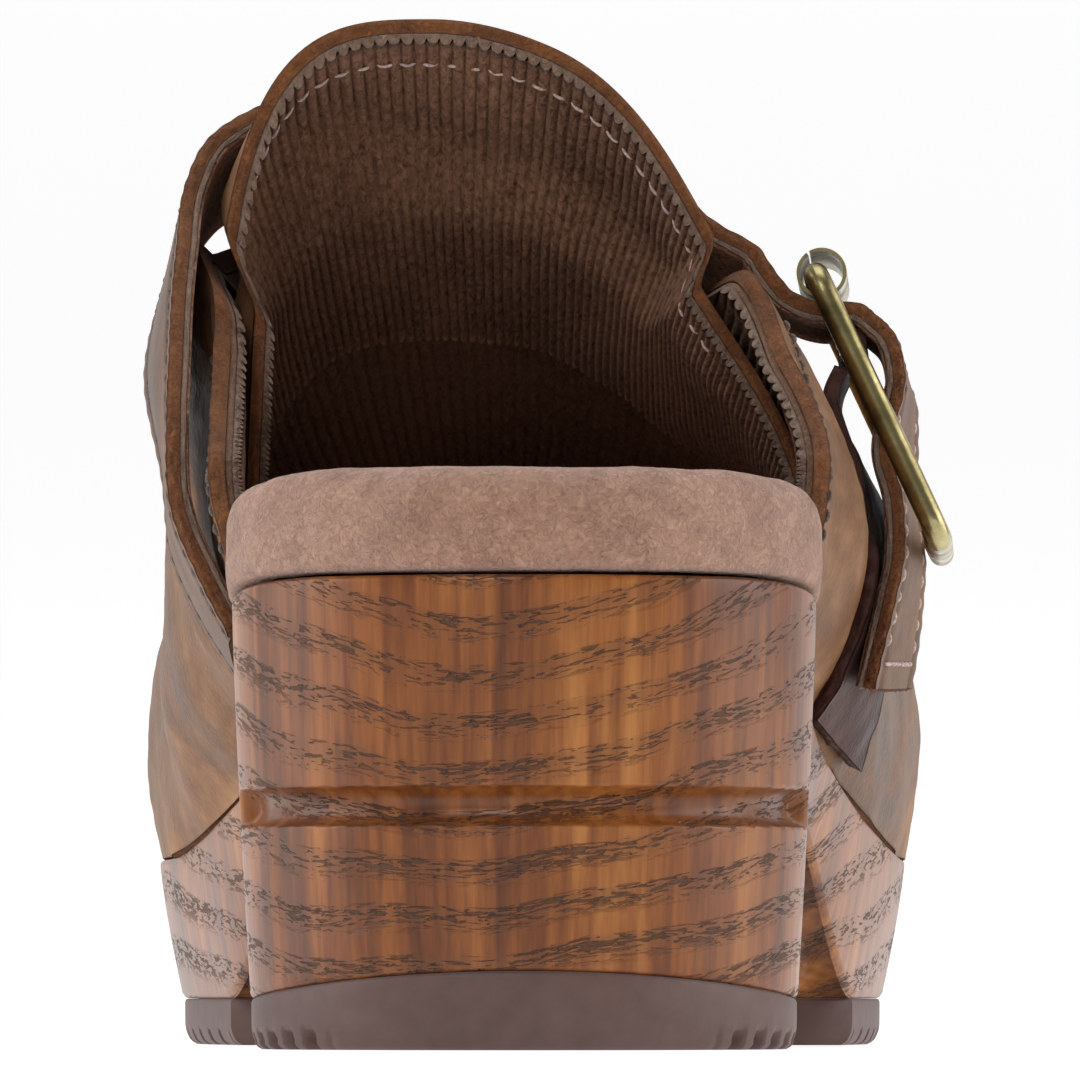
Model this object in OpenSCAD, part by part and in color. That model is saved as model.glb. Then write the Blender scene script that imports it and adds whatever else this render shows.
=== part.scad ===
// Wooden clog with a padded footbed, a leather upper and a buckled instep strap.
// Right shoe: +Y points to the toe, +X to the outer side, +Z up, origin at the
// middle of the heel's tread, on the ground. All sizes in millimetres.

/* [Base] */
// Width of the heel at the seat
heel_w = 68; // [60:0.5:76]
// Width of the wooden platform at the ball
ball_w = 95; // [84:0.5:106]
// Distance from the middle of the heel to the tip of the toe
toe_reach = 221; // [200:1:245]
// Height of the seat at the back, from the ground
seat_h = 54.2; // [46:0.2:64]
// Height of the platform under the ball, from the ground
platform_h = 23.4; // [19:0.2:30]
// Lift of the toe tip above the ground
toe_spring = 5; // [2:0.5:9]
// Height of the arch gap above the ground
arch_h = 27; // [20:0.5:29]
// Inward lean of the heel's wall, top to bottom
heel_lean = 2.2; // [0.5:0.1:3]
// Inward lean of the platform's wall, top to bottom
platform_lean = 3; // [0.5:0.1:4]
// Height of the groove round the back of the heel
groove_h = 4.5; // [3:0.1:7]
// Depth of the groove
groove_d = 2.5; // [1:0.1:4]
// Height of the groove's middle above the ground
groove_z = 27.9; // [22:0.1:34]

/* [Rubber] */
// Thickness of the rubber under the ball and the heel's sides
sole_t = 5.8; // [4:0.1:9]
// Extra thickness of the heel lift at the very back
lift_rise = 3.3; // [0:0.1:5]
// Width of one tread notch
notch_w = 1.6; // [1:0.1:4]
// Depth of a tread notch into the rim
notch_depth = 3; // [2:0.5:6]
// Radius of a nail's head
nail_head_r = 2.2; // [1.5:0.1:3]

/* [Footbed] */
// Height of the padded footbed at the heel
footbed_h = 12.4; // [8:0.1:18]
// Height of the footbed under the toes
footbed_toe_h = 5.4; // [4:0.1:8]
// Thickness of the suede cover
cover_t = 1.2; // [0.8:0.1:2]
// Thickness of the hidden insole board
board_t = 1.8; // [1:0.1:3]

/* [Upper] */
// Height of the instep line where the tongue ends
instep_h = 125.4; // [116:0.5:142]
// Thickness of the leather
leather_t = 2; // [1.2:0.1:2.6]
// Thickness of the padding
padding_t = 0.8; // [0.5:0.1:1.5]
// Thickness of the ribbed lining
lining_t = 1.2; // [0.8:0.1:1.6]
// Swell of the upper past the wood beside the heel
wing_swell = 3.4; // [2.5:0.1:5]
// Width of the turned-in leather edge on the wood
margin_w = 8; // [6:0.5:10]
// Thickness of the tongue's leather
tongue_t = 1.4; // [1:0.1:2]

/* [Strap and buckle] */
// Width of the instep strap
strap_w = 24; // [20:0.5:26]
// Thickness of the strap's leather
strap_leather_t = 1.7; // [1.2:0.1:2.2]
// Thickness of the strap's lining
strap_lining_t = 1.1; // [0.6:0.1:1.4]
// Distance between the roller's bar and the lower bar
buckle_len = 35.5; // [33:0.5:42]
// Distance between the roller's bar and the middle bar
bar_drop = 9.2; // [8.5:0.1:11]
// Radius of the buckle's wire
wire_r = 1.5; // [1.2:0.1:1.7]
// Outer radius of the roller
roller_r = 3.05; // [2.7:0.05:3.4]
// Wall of the roller's tube
roller_wall = 0.45; // [0.3:0.05:0.6]

/* [Hidden] */
$fn = 48;

seam = 0.05;            // gap between glued faces of neighbouring pieces
seat_gap = 0.15;        // gap between the curved seat and what lies on it
heel_r = heel_w / 2;
heel_y = -4;            // middle of the round back of the heel
heel_back = heel_y - heel_r;
breast_y = 28;          // front face of the heel at the ground
tread_y = 101;          // where the platform meets the ground behind the ball
ball_y = 145;           // widest place of the platform
toe_x = -7;             // the tip leans to the inner side
stations = 58;          // slices along the shoe

// ---- small functions -------------------------------------------------------
function clamp01(t) = min(1, max(0, t));
function ease(t) = let (u = clamp01(t)) u * u * (3 - 2 * u);
function lerp(a, b, t) = a + (b - a) * t;
function closing(t, n) = pow(max(0, 1 - pow(clamp01(t), n)), 1 / n);

// ---- outline and heights of the wood ---------------------------------------
function ball_outer() = ball_w * 0.51;
function ball_inner() = ball_w * 0.49;
function width_outer(y) = lerp(heel_r, ball_outer(), ease((y - 35) / (ball_y - 37)));
function width_inner(y) = lerp(heel_r, ball_inner(), ease((y - 62) / (ball_y - 57)))
    - 2.2 * ease((y - 8) / 40) * (1 - ease((y - 60) / 40));

// Half widths at y with the whole outline pulled in by d.
function close_y(y, d) = (y - ball_y) / (toe_reach - d - ball_y);
function heel_half(y, d) = sqrt(max(0, pow(heel_r - d, 2) - pow(min(0, y - heel_y), 2)));
function edge_outer(y, d) = y < heel_y ? heel_half(y, d)
    : toe_x + (width_outer(y) - d - toe_x) * closing(close_y(y, d), 2.1);
function edge_inner(y, d) = y < heel_y ? -heel_half(y, d)
    : toe_x - (width_inner(y) - d + toe_x) * closing(close_y(y, d), 2.6);

function spring(y) = toe_spring * pow(clamp01((y - 168) / (toe_reach - 168)), 2);
function seat(y) = platform_h + (seat_h - platform_h) * ease((135 - y) / 165) + spring(y) * 0.6;
function lift_top(y) = sole_t + lift_rise * pow(clamp01((-2 - y) / (-2 - heel_back)), 1.6);
function arch(y) = (arch_h - sole_t) * ease((y - breast_y) / 10)
    * (1 - ease((y - 60) / (tread_y - 56)));
function under(y) = lift_top(y) + arch(y) + spring(y);

// Slices from the heel's back to the toe, close together at both round ends.
function slice(i) = let (t = i / (stations - 1), back = heel_back + 0.12, tip = toe_reach - 0.12,
    w = (1 - cos(180 * t)) / 2) lerp(back, tip, lerp(t, w, 0.8));
// Where a slice lies when the outline is pulled in by d: only the round ends move.
function slice_in(i, d) = let (y = slice(i), toe_l = toe_reach - ball_y)
    y < heel_y ? heel_y + (y - heel_y) * (heel_r - d) / heel_r
    : y > ball_y ? ball_y + (y - ball_y) * (toe_l - d) / toe_l : y;

// ---- closed solids from rings ----------------------------------------------
// Each ring is one closed loop with the same number of points. The two end caps
// run straight across, from point j to the point opposite it. The halves of a loop
// are cut into triangles alike, so that two skins laid together match.
module rings_solid(rings) {
    m = len(rings[0]);
    n = len(rings);
    points = [for (r = rings) for (p = r) p];
    sides = [for (i = [0:n - 2]) for (j = [0:m - 1]) let (a = i * m + j, b = i * m + (j + 1) % m)
        for (f = j < m / 2 ? [[a, b, b + m], [a, b + m, a + m]] : [[a, b, a + m], [b, b + m, a + m]]) f];
    caps = [for (j = [0:m / 2 - 2]) for (f = [[j, m - 1 - j, j + 1], [j + 1, m - 1 - j, m - 2 - j]]) f];
    last = (n - 1) * m;
    ends = [for (f = caps) [last + f[0], last + f[2], last + f[1]]];
    polyhedron(points = points, faces = concat(sides, caps, ends), convexity = 10);
}

// Loop round the outline between two slices, pulled in by d, its height from z(kind, y).
function outline(first, last, d, k, z0, z1) = concat(
    [for (i = [first:last]) let (y = slice_in(i, d)) [edge_outer(y, d), y, level(y, k, z0, z1)]],
    [for (i = [last:-1:first]) let (y = slice_in(i, d)) [edge_inner(y, d), y, level(y, k, z0, z1)]]);

// Height at y: share k of the way from surface z0 to surface z1.
// Surfaces: 0 ground, 1 underside of the wood, 2 seat, 3 top of the footbed.
function footbed_rise(y) = lerp(footbed_toe_h, footbed_h, ease((125 - y) / 130));
function surface_z(s, y) = s == 0 ? spring(y) : s == 1 ? under(y) : s == 2 ? seat(y)
    : seat(y) + footbed_rise(y);
function level(y, k, z0, z1) = lerp(surface_z(z0, y), surface_z(z1, y), k);

// ---- wood and rubber ---------------------------------------------------------
function wall_lean(y, v) = lerp(heel_lean, platform_lean, ease((y - 30) / 60)) * pow(1 - v, 1.3);
function wood_ring(v) = let (n = stations - 1) concat(
    [for (i = [0:n]) let (d = wall_lean(slice(i), v), y = slice_in(i, d))
        [edge_outer(y, d), y, level(y, v, 1, 2)]],
    [for (i = [n:-1:0]) let (d = wall_lean(slice(i), v), y = slice_in(i, d))
        [edge_inner(y, d), y, level(y, v, 1, 2)]]);

module wood_base() {
    color("peru")
    difference() {
        rings_solid([for (v = [0, 0.25, 0.5, 0.75, 1]) wood_ring(v)]);
        heel_groove();
        for (p = concat(lift_nail_spots(), sole_nail_spots())) translate([p[0], p[1], -1])
            cylinder(r = nail_r, h = nail_top - 0.2 + 1);
    }
}

// Round-bottomed channel round the back of the heel, ending in blunt walls.
module heel_groove() {
    cutter = groove_h / 2;
    translate([0, heel_y, groove_z])
        rotate([0, 0, 180 + 4])
            rotate_extrude(angle = 180 - 8)
                translate([heel_r - groove_d - 0.6, 0])
                    union() {
                        translate([cutter, 0]) circle(r = cutter);
                        translate([cutter, -cutter]) square([6, groove_h]);
                    }
}

function rubber_ring(first, last, d, k) = outline(first, last, d, k, 0, 1);
heel_last = search_slice(breast_y - 1.5);
sole_first = search_slice(tread_y + 1.5);
function search_slice(y) = [for (i = [0:stations - 1]) if (slice(i) > y) i][0];

module heel_lift() {
    color("rosybrown")
    difference() {
        rings_solid([
            rubber_ring(0, heel_last - 1, heel_lean + 1.2, 0),
            rubber_ring(0, heel_last - 1, heel_lean + 0.1, 0.22),
            shifted(rubber_ring(0, heel_last - 1, heel_lean + 0.1, 1), -seam)]);
        for (a = concat([for (a = [186:8:226]) a], [for (a = [314:8:354]) a]))
            tread_notch([heel_r * cos(a), heel_y + heel_r * sin(a)], a);
        for (p = lift_nail_spots()) nail_hole(p);
    }
}

module forefoot_sole() {
    color("rosybrown")
    difference() {
        rings_solid([
            rubber_ring(sole_first, stations - 1, platform_lean + 1.4, 0),
            rubber_ring(sole_first, stations - 1, platform_lean + 0.2, 0.22),
            shifted(rubber_ring(sole_first, stations - 1, platform_lean + 0.2, 1), -seam)]);
        for (y = [tread_y + 9:9:ball_y + 42]) {
            tread_notch([edge_outer(y, platform_lean), y], 0);
            tread_notch([edge_inner(y, platform_lean), y], 180);
        }
        for (p = sole_nail_spots()) nail_hole(p);
    }
}

function shifted(ring, dz) = [for (p = ring) [p[0], p[1], p[2] + dz]];

module tread_notch(at, angle) {
    translate([at[0], at[1], 0])
        rotate([0, 0, angle])
            translate([-notch_depth, -notch_w / 2, -1])
                cube([notch_depth * 2, notch_w, 1 + sole_t * 0.3]);
}

nail_r = 0.9;
nail_sink = 2;       // nail heads sit this deep in the tread
nail_top = 16;       // height that the nail points reach
function lift_nail_spots() = [for (a = [0, 72, 144, 216, 288]) [18 * sin(a), heel_y + 3 + 17 * cos(a)]];
function sole_nail_spots() = [for (y = [tread_y + 14, ball_y, ball_y + 32]) for (s = [-1, 1])
    let (w = s > 0 ? edge_outer(y, 16) : edge_inner(y, 16)) [w, y]];

module nail_hole(p) {
    translate([p[0], p[1], -1]) cylinder(r = nail_head_r + 0.1, h = 1 + nail_sink + 1);
    translate([p[0], p[1], 0]) cylinder(r = nail_r, h = nail_top);
}

module nail(p) {
    translate([p[0], p[1], nail_sink]) cylinder(r = nail_head_r, h = 1);
    translate([p[0], p[1], nail_sink + 0.5]) cylinder(r = nail_r - 0.01, h = nail_top - nail_sink - 0.8);
}

module heel_lift_nails() { color("silver") for (p = lift_nail_spots()) nail(p); }
module forefoot_sole_nails() { color("silver") for (p = sole_nail_spots()) nail(p); }

// ---- footbed -----------------------------------------------------------------
upper_t = leather_t + padding_t + lining_t;
wing_y = 9;              // where the wings start beside the heel
strap_tuck = 3;          // room beside the wings for the straps' ends
// The footbed overhangs the wood at the heel and fits inside the lining ahead of it.
function footbed_in(y) = lerp(-0.7, upper_t + 0.5 + strap_tuck * (1 - ease((y - 62) / 12)),
    ease((y - wing_y + 6) / 4));
function footbed_pull(i, d) = footbed_in(slice(i)) + d;
function footbed_ring(d, z0, k, dz) = let (n = stations - 1) concat(
    [for (i = [0:n]) let (e = footbed_pull(i, d), y = slice_in(i, e))
        [edge_outer(y, e), y, level(y, k, 2, 3) + z0 + dz * under_leather(y)]],
    [for (i = [n:-1:0]) let (e = footbed_pull(i, d), y = slice_in(i, e))
        [edge_inner(y, e), y, level(y, k, 2, 3) + z0 + dz * under_leather(y)]]);

bed_base = leather_t + seat_gap + seam;   // the footbed lies on the lasted leather edge
board_in = strap_tuck + leather_t + margin_w + 1;
function under_leather(y) = ease((y - wing_y + 6) / 4);

module insole_board() {
    color("tan")
    rings_solid([
        shifted(outline(0, stations - 1, board_in, 0, 2, 3), seam),
        shifted(outline(0, stations - 1, board_in, 0, 2, 3), board_t)]);
}

module footbed_cover() {
    color("rosybrown")
    rings_solid([
        footbed_ring(5 + cover_t, -cover_t, 1, 0),
        footbed_ring(1.8 + cover_t, -1.1 - cover_t, 1, 0),
        footbed_ring(0.2 + cover_t, -cover_t * 0.6, 0.62, 0),
        footbed_ring(0.3 + cover_t, 0, 0.34, 0.4),
        footbed_ring(0.9 + cover_t, seam, 0, bed_base - seam),
        footbed_ring(0.9, seam, 0, bed_base - seam),
        footbed_ring(0, 0, 0.32, 0.5),
        footbed_ring(0, 0, 0.65, 0),
        footbed_ring(1.6, -1.3, 1, 0),
        footbed_ring(5, 0, 1, 0)]);
}

module footbed_foam() {
    color("wheat")
    rings_solid([
        footbed_ring(0.95 + cover_t, bed_base, 0, 0),
        footbed_ring(0.35 + cover_t, 0, 0.34, 0.4),
        footbed_ring(0.25 + cover_t, -cover_t * 0.6 - seam, 0.62, 0),
        footbed_ring(1.85 + cover_t, -1.1 - cover_t - seam, 1, 0),
        footbed_ring(5.05 + cover_t, -cover_t - seam, 1, 0)]);
}

// ---- form of the upper -------------------------------------------------------
// Cross-section at y, t below the outer skin. k runs from -1 at the inner edge of the
// wood, 0 at the widest place, 1 at the crest, 2 at the widest outer place, to 3.
form_toe = toe_reach + 1.2;
tip_share = 0.4;        // the edges on the wood keep this share of the width at the tip
function swell(y) = lerp(wing_swell, 1.4, ease((y - 80) / 60));
// The inner side is fuller ahead of the wing.
bulge_d = 5.5;
function inner_bulge(y) = bulge_d * ease((y - 43) / 22) * (1 - ease((y - 82) / 36));
function outer_bulge(y) = -1.2 * (1 - ease((y - 24) / 16))
    + 2.6 * ease((y - 34) / 14) * (1 - 0.7 * ease((y - 50) / 10)) * (1 - ease((y - 80) / 30));
function form_close(y, t, n) = closing((y - ball_y) / (form_toe - t - ball_y), n);
function side_outer(y, t) = toe_x
    + (width_outer(y) + swell(y) + outer_bulge(y) - t - toe_x) * form_close(y, t, 2.1);
function side_inner(y, t) = toe_x
    - (max(width_inner(y), heel_r * (1 - ease((y - 60) / 30))) + swell(y) + inner_bulge(y) - t + toe_x)
        * form_close(y, t, 2.6);
function crest_line(y) = instep_h - 0.66 * (y - 50) + 0.0011 * pow(y - 50, 2);
function crest(y, t) = let (low = seat(y) + 4)
    low + (crest_line(y) - t * 1.2 - low) * closing((y - 165) / (form_toe - t - 165), 2.7);
function crest_x(y) = lerp(-11, toe_x, ease((y - 50) / 120));
function belly(y) = lerp(lerp(22, 12.6, ease((y - 50) / 95)), 9, ease((y - ball_y) / 60));
function power_inner(y) = lerp(3.3, 2.3, ease((y - 50) / 90));
function power_outer(y) = lerp(1.85, 2.15, ease((y - 50) / 90));
function arc_r(a, b, n, psi) = pow(pow(cos(psi) / a, n) + pow(sin(psi) / b, n), -1 / n);
function base_in(y) = strap_tuck * (1 - ease((y - 62) / 12));

function form(y, k, t) =
    let (zs = seat(y) + seat_gap, zc = seat(y) + min(belly(y), (crest(y, t) - seat(y)) * 0.6))
    k < 0 ? let (s = 1 + k, wide = side_inner(y, t),
        base = min(edge_inner(y, base_in(y) + t), lerp(toe_x, wide, tip_share)))
        [wide + (base - wide) * pow(1 - s, 2), y, lerp(zs, zc, s)]
    : k > 2 ? let (s = 3 - k, wide = side_outer(y, t),
        base = max(edge_outer(y, base_in(y) + t), lerp(toe_x, wide, tip_share)))
        [wide + (base - wide) * pow(1 - s, 2), y, lerp(zs, zc, s)]
    : k < 1 ? let (psi = 90 * k, xa = crest_x(y),
        r = arc_r(xa - side_inner(y, t), crest(y, t) - zc, power_inner(y), psi))
        [xa - r * cos(psi), y, zc + r * sin(psi)]
    : let (psi = 90 * (2 - k), xa = crest_x(y),
        r = arc_r(side_outer(y, t) - xa, crest(y, t) - zc, power_outer(y), psi) - dent(y, psi))
        [xa + r * cos(psi), y, zc + r * sin(psi)];
// The outer side is drawn in under the buckle.
dent_d = 4.6;
dent_at = 44;       // degrees above the widest place
dent_w = 32;        // degrees up to where the dent runs out
dent_low_w = 44;    // degrees down to where it runs out
function dent(y, psi) = dent_d * (1.5 - 0.5 * ease((y - 30) / 25))
    * ease(1 - max(psi - dent_at, 0) / dent_w - max(dent_at - psi, 0) / dent_low_w)
    * ease((y - 5) / 25) * (1 - ease((y - 82) / 35));

// Rear edge of the vamp: wings rise to a corner on each side, then the throat dips forward.
corner_in = 0.5;
corner_out = 0.40;
corner_y = 46;
throat_y = 80;
function rear_half(u, corner) = u < 0 ? lerp(wing_y, 19, 1 + u)
    : u < corner ? lerp(19, corner_y, u / corner)
    : lerp(corner_y, throat_y, ease((u - corner) / 0.22));
function rear_y(k) = k < 1 ? rear_half(k, corner_in) : rear_half(2 - k, corner_out);

// ---- vamp --------------------------------------------------------------------
low_steps = 4;
arc_steps = 10;
vamp_rows = 24;
toe_row = 17;
chain_k = concat([for (i = [0:low_steps - 1]) -1 + i / low_steps],
    [for (i = [0:2 * arc_steps]) i / arc_steps],
    [for (i = [1:low_steps]) 2 + i / low_steps]);
function row_share(i) = 0.9995 * (1 - pow(1 - i / vamp_rows, 1.6));
function vamp_y(k, row, t) = lerp(rear_y(k), form_toe - t, row_share(row));
function chain(row, t) = [for (k = chain_k) form(vamp_y(k, row, t), k, t)];
// The last inner chain lies flat on the wood, so the toe closes.
function flat_chain(c, z) = [for (p = c) [p[0], p[1], seat(p[1]) + z]];
function reversed(list) = [for (i = [len(list) - 1:-1:0]) list[i]];
function above(chain_pts, z) = [for (p = chain_pts) [p[0], p[1], max(p[2], seat(p[1]) + z)]];

// Turned-in edge: two more points on each side, lying on the wood.
function margin_pt(p, side, dx, z) = [p[0] - side * dx, p[1], seat(p[1]) + z];
function with_margin(c, z, w) = let (a = c[0], b = c[len(c) - 1]) concat(
    [margin_pt(a, -1, w, z)], c, [margin_pt(b, 1, w, z)]);
function margin_at(row, c) = min(margin_w, (c[len(c) - 1][0] - c[0][0]) * 0.3);

module vamp_leather() {
    color("sienna")
    rings_solid([for (row = [0:vamp_rows])
        let (top = leather_t + seat_gap, outer = chain(row, 0), inner = above(chain(row, leather_t), top),
            w = margin_at(row, inner), fit = (outer[len(outer) - 1][0] - outer[0][0]) * 0.4,
            under_side = with_margin(outer, seat_gap, min(w + leather_t, fit)),
            top_side = with_margin(row == vamp_rows ? flat_chain(inner, top) : inner, top, w))
        concat(under_side, reversed(top_side))]);
}

module vamp_layer(t0, t1, from, to, floor_z) {
    rings_solid([for (row = [from:to])
        let (outer = above(chain(row, t0), floor_z), inner = above(chain(row, t1), floor_z))
        concat(outer, reversed(row == vamp_rows ? flat_chain(inner, floor_z) : inner))]);
}

inside_z = leather_t + seat_gap + seam;
module vamp_padding() {
    color("white")
    vamp_layer(leather_t + seam, leather_t + padding_t, 0, toe_row, inside_z);
}
module toe_puff() {
    color("khaki")
    vamp_layer(leather_t + seam, leather_t + padding_t, toe_row, vamp_rows - 1, inside_z);
}
module vamp_lining() {
    color("saddlebrown")
    vamp_layer(leather_t + padding_t + seam, upper_t, 0, vamp_rows, inside_z);
}

// Tacks through the turned-in edge, one every so often round the shoe.
module lasting_tacks() {
    color("silver")
    for (y = [wing_y + 16:18:ball_y + 50]) for (s = [-1, 1]) {
        d = base_in(y) + leather_t + 4;
        x = s > 0 ? edge_outer(y, d) : edge_inner(y, d);
        translate([x, y, seat(y) - 6]) cylinder(r = 0.6, h = 6 + leather_t);
    }
}

// ---- tongue ------------------------------------------------------------------
tongue_rows = 12;
tongue_y = 50;
tongue_root = 96;
tongue_k = [for (i = [0:30]) lerp(-0.4, 2.35, i / 30)];
// The tongue lies near the outer skin behind the throat and dips under the vamp ahead of it.
function tongue_dip(y, k) = lerp(tongue_high, tongue_low, ease((y - rear_y(k) + 16) / 11));
function tongue_chain(row, t) = [for (k = tongue_k) let (y = lerp(tongue_y, tongue_root, row / tongue_rows))
    form(y, k, tongue_dip(y, k) + t)];
module tongue_layer(t0, t1) {
    rings_solid([for (row = [0:tongue_rows])
        concat(tongue_chain(row, t0), reversed(tongue_chain(row, t1)))]);
}
tongue_high = 1.2;       // depth of the tongue's face behind the throat
tongue_low = upper_t + 1.7;
module tongue_leather() { color("sienna") tongue_layer(0, tongue_t); }
module tongue_lining() {
    color("saddlebrown")
    tongue_layer(tongue_t + seam, tongue_t + lining_t);
}

// ---- buckle's own frame ------------------------------------------------------
// u runs down the strap from the roller, h stands out from the foot, w runs forward.
buckle_tilt = 25;
buckle_pitch = 2.5;
buckle_yaw = 2.3;
buckle_at = form(55, 1.6, -7.9);
function turn_y(p, a) = [p[0] * cos(a) + p[2] * sin(a), p[1], -p[0] * sin(a) + p[2] * cos(a)];
function turn_x(p, a) = [p[0], p[1] * cos(a) - p[2] * sin(a), p[1] * sin(a) + p[2] * cos(a)];
function turn_z(p, a) = [p[0] * cos(a) - p[1] * sin(a), p[0] * sin(a) + p[1] * cos(a), p[2]];
function at_buckle(u, h, w) = buckle_at
    + turn_z(turn_x(turn_y([h, w, -u], -buckle_tilt), -buckle_pitch), -buckle_yaw);
module place_buckle() {
    translate(buckle_at)
        rotate([-buckle_pitch, 0, -buckle_yaw])
            rotate([0, -buckle_tilt, 0])
                children();
}

strap_gap = 0.7;                              // play beside the strap in the frame
frame_w = strap_w + 2 * (strap_gap + wire_r); // between the side bars' middles
strap_w0 = wire_r + strap_gap;                // strap's rear edge in the buckle's frame
mid_bar_r = 1.25;
corner_r = 3;
roller_shift = roller_r - roller_wall - wire_r - 0.35;

module bar(u, w0, w1, r) { translate([0, w0, -u]) rotate([-90, 0, 0]) cylinder(r = r, h = w1 - w0); }
module side_bar(w) {
    translate([0, w, -buckle_len + corner_r]) cylinder(r = wire_r, h = buckle_len - 2 * corner_r);
}
module wire_corner(w, u, turn) {
    translate([0, w, -u]) rotate([turn, 0, 0]) rotate([0, 90, 0])
        rotate_extrude(angle = 90) translate([corner_r, 0]) circle(r = wire_r);
}

module buckle_frame() {
    color("darkkhaki")
    place_buckle()
        union() {
            bar(0, corner_r, frame_w - corner_r, wire_r);
            bar(buckle_len, corner_r, frame_w - corner_r, wire_r);
            bar(bar_drop, 0, frame_w, mid_bar_r);
            side_bar(0);
            side_bar(frame_w);
            wire_corner(frame_w - corner_r, corner_r, 90);
            wire_corner(corner_r, corner_r, 180);
            wire_corner(corner_r, buckle_len - corner_r, 270);
            wire_corner(frame_w - corner_r, buckle_len - corner_r, 0);
        }
}

// Rolled tube with an open seam, hanging a little off the bar's middle.
seam_angle = 7;
module buckle_roller() {
    color("darkkhaki")
    place_buckle()
        translate([roller_shift, corner_r + 0.3, 0])
            rotate([-90, 0, 0])
                rotate([0, 0, -95])
                    rotate_extrude(angle = 360 - seam_angle)
                        translate([roller_r - roller_wall, 0])
                            square([roller_wall, frame_w - 2 * corner_r - 0.6]);
}

// ---- instep strap ------------------------------------------------------------
strap_t = strap_leather_t + strap_lining_t;
// Over the foot: k round the form, y of the rear and front edge, stand-off of each edge.
strap_over = [
    [-0.93, 20, 43, 3.6, 4.0], [-0.6, 22, 45, 3.7, 4.0], [-0.15, 26, 49, 5.0, 4.4],
    [0.15, 31, 53, 5.4, 4.1], [0.36, 37.5, 59, 5.4, 4.5], [0.52, 46, 67, 5, 5.2],
    [0.62, 54, 75, 3.6, 5], [0.71, 60.5, 82, 2.5, 4.6], [0.84, 66, 88, 2.3, 4.4], [1.0, 69, 91, 2.3, 4.4],
    [1.17, 68, 90, 2.4, 4.4], [1.3, 65, 87.5, 2.5, 4.3], [1.42, 61.5, 84.5, 3.2, 4.2]];
// Round the buckle: u, and h of the rear and front edge of the strap's face.
loop_t = 0.9;                                 // leather of the anchor strap
gap_r = roller_r - roller_shift * 0.4;
hump = mid_bar_r + loop_t + strap_t + 1;
under_bar = -wire_r - 0.4;
strap_round = [
    [-6.4, -5.2, -7.6], [-3, -4.6, -5.6], [0.6, -gap_r - 0.9, -gap_r - 0.9],
    [3.3, -0.9, -0.9], [5, 3.3, 3.3], [7.8, hump - 0.9, hump - 0.9], [bar_drop + 1.6, hump, hump],
    [15.1, hump - 0.8, hump - 0.5], [18, 3.6, 5.2], [23.3, -0.5, 2.9], [29.4, -1.8, 0],
    [buckle_len, -4.4, under_bar], [40.2, -7.8, -4.4], [44.3, -10.9, -7.0], [49, -14.4, -10.2]];
function strap_edge(side) = concat(
    [for (s = strap_over) form(s[1 + side], s[0], -s[3 + side])],
    [for (s = strap_round) at_buckle(s[0], s[1 + side], strap_w0 + side * strap_w)]);
// Smooth curve through the points.
function curve_pt(p, i, t) = let (a = p[max(0, i - 1)], b = p[i], c = p[i + 1], d = p[min(len(p) - 1, i + 2)])
    0.5 * (2 * b + (c - a) * t + (2 * a - 5 * b + 4 * c - d) * t * t + (3 * b - a - 3 * c + d) * t * t * t);
function smooth(p, steps) = concat([for (i = [0:len(p) - 2]) for (s = [0:steps - 1]) curve_pt(p, i, s / steps)],
    [p[len(p) - 1]]);
function unit(v) = v / norm(v);
strap_rear = smooth(strap_edge(0), 3);
strap_front = smooth(strap_edge(1), 3);
function strap_normal(i) = let (n = len(strap_rear) - 1,
    along = strap_rear[min(n, i + 1)] - strap_rear[max(0, i - 1)]
        + strap_front[min(n, i + 1)] - strap_front[max(0, i - 1)],
    across = strap_front[i] - strap_rear[i]) unit(cross(along, across));
module strap_layer(t0, t1) {
    rings_solid([for (i = [0:len(strap_rear) - 1]) let (n = strap_normal(i))
        [strap_rear[i] - n * t0, strap_front[i] - n * t0, strap_front[i] - n * t1, strap_rear[i] - n * t1]]);
}
module instep_strap_leather() { color("sienna") strap_layer(0, strap_leather_t); }
module instep_strap_lining() { color("saddlebrown") strap_layer(strap_leather_t + seam, strap_t); }

// ---- anchor strap ------------------------------------------------------------
// A folded strap: a loop round the middle bar, then both layers run down to the wood.
anchor_w = strap_w - 3;
anchor_w0 = (frame_w - anchor_w) / 2;
anchor_t = 2 * loop_t;
bar_play = 0.1;
anchor_path = [[2.2, -2, -2.1], [5, -4.7, -4.5], [8.5, -5.3, -5.1], [14, -5.9, -4.9], [19.5, -7.5, -5.2]];
function anchor_edge(side) = concat(
    [for (s = anchor_path) at_buckle(bar_drop + s[0], s[1 + side], anchor_w0 + side * anchor_w)],
    [for (k = [2, 2.22, 2.45, 2.7, 2.93]) let (w = anchor_w0 + side * anchor_w) form(51.4 + w, k, -1.25)]);
module anchor_strap() {
    rear = smooth(anchor_edge(0), 3);
    front = smooth(anchor_edge(1), 3);
    n = len(rear) - 1;
    color("maroon")
    union() {
        place_buckle() difference() {
            bar(bar_drop, anchor_w0, anchor_w0 + anchor_w, mid_bar_r + bar_play + loop_t);
            bar(bar_drop, anchor_w0 - 1, anchor_w0 + anchor_w + 1, mid_bar_r + bar_play);
        }
        rings_solid([for (i = [0:n]) let (
            along = rear[min(n, i + 1)] - rear[max(0, i - 1)] + front[min(n, i + 1)] - front[max(0, i - 1)],
            out = unit(cross(along, front[i] - rear[i])) * anchor_t / 2)
            [rear[i] + out, front[i] + out, front[i] - out, rear[i] - out]]);
    }
}

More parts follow.
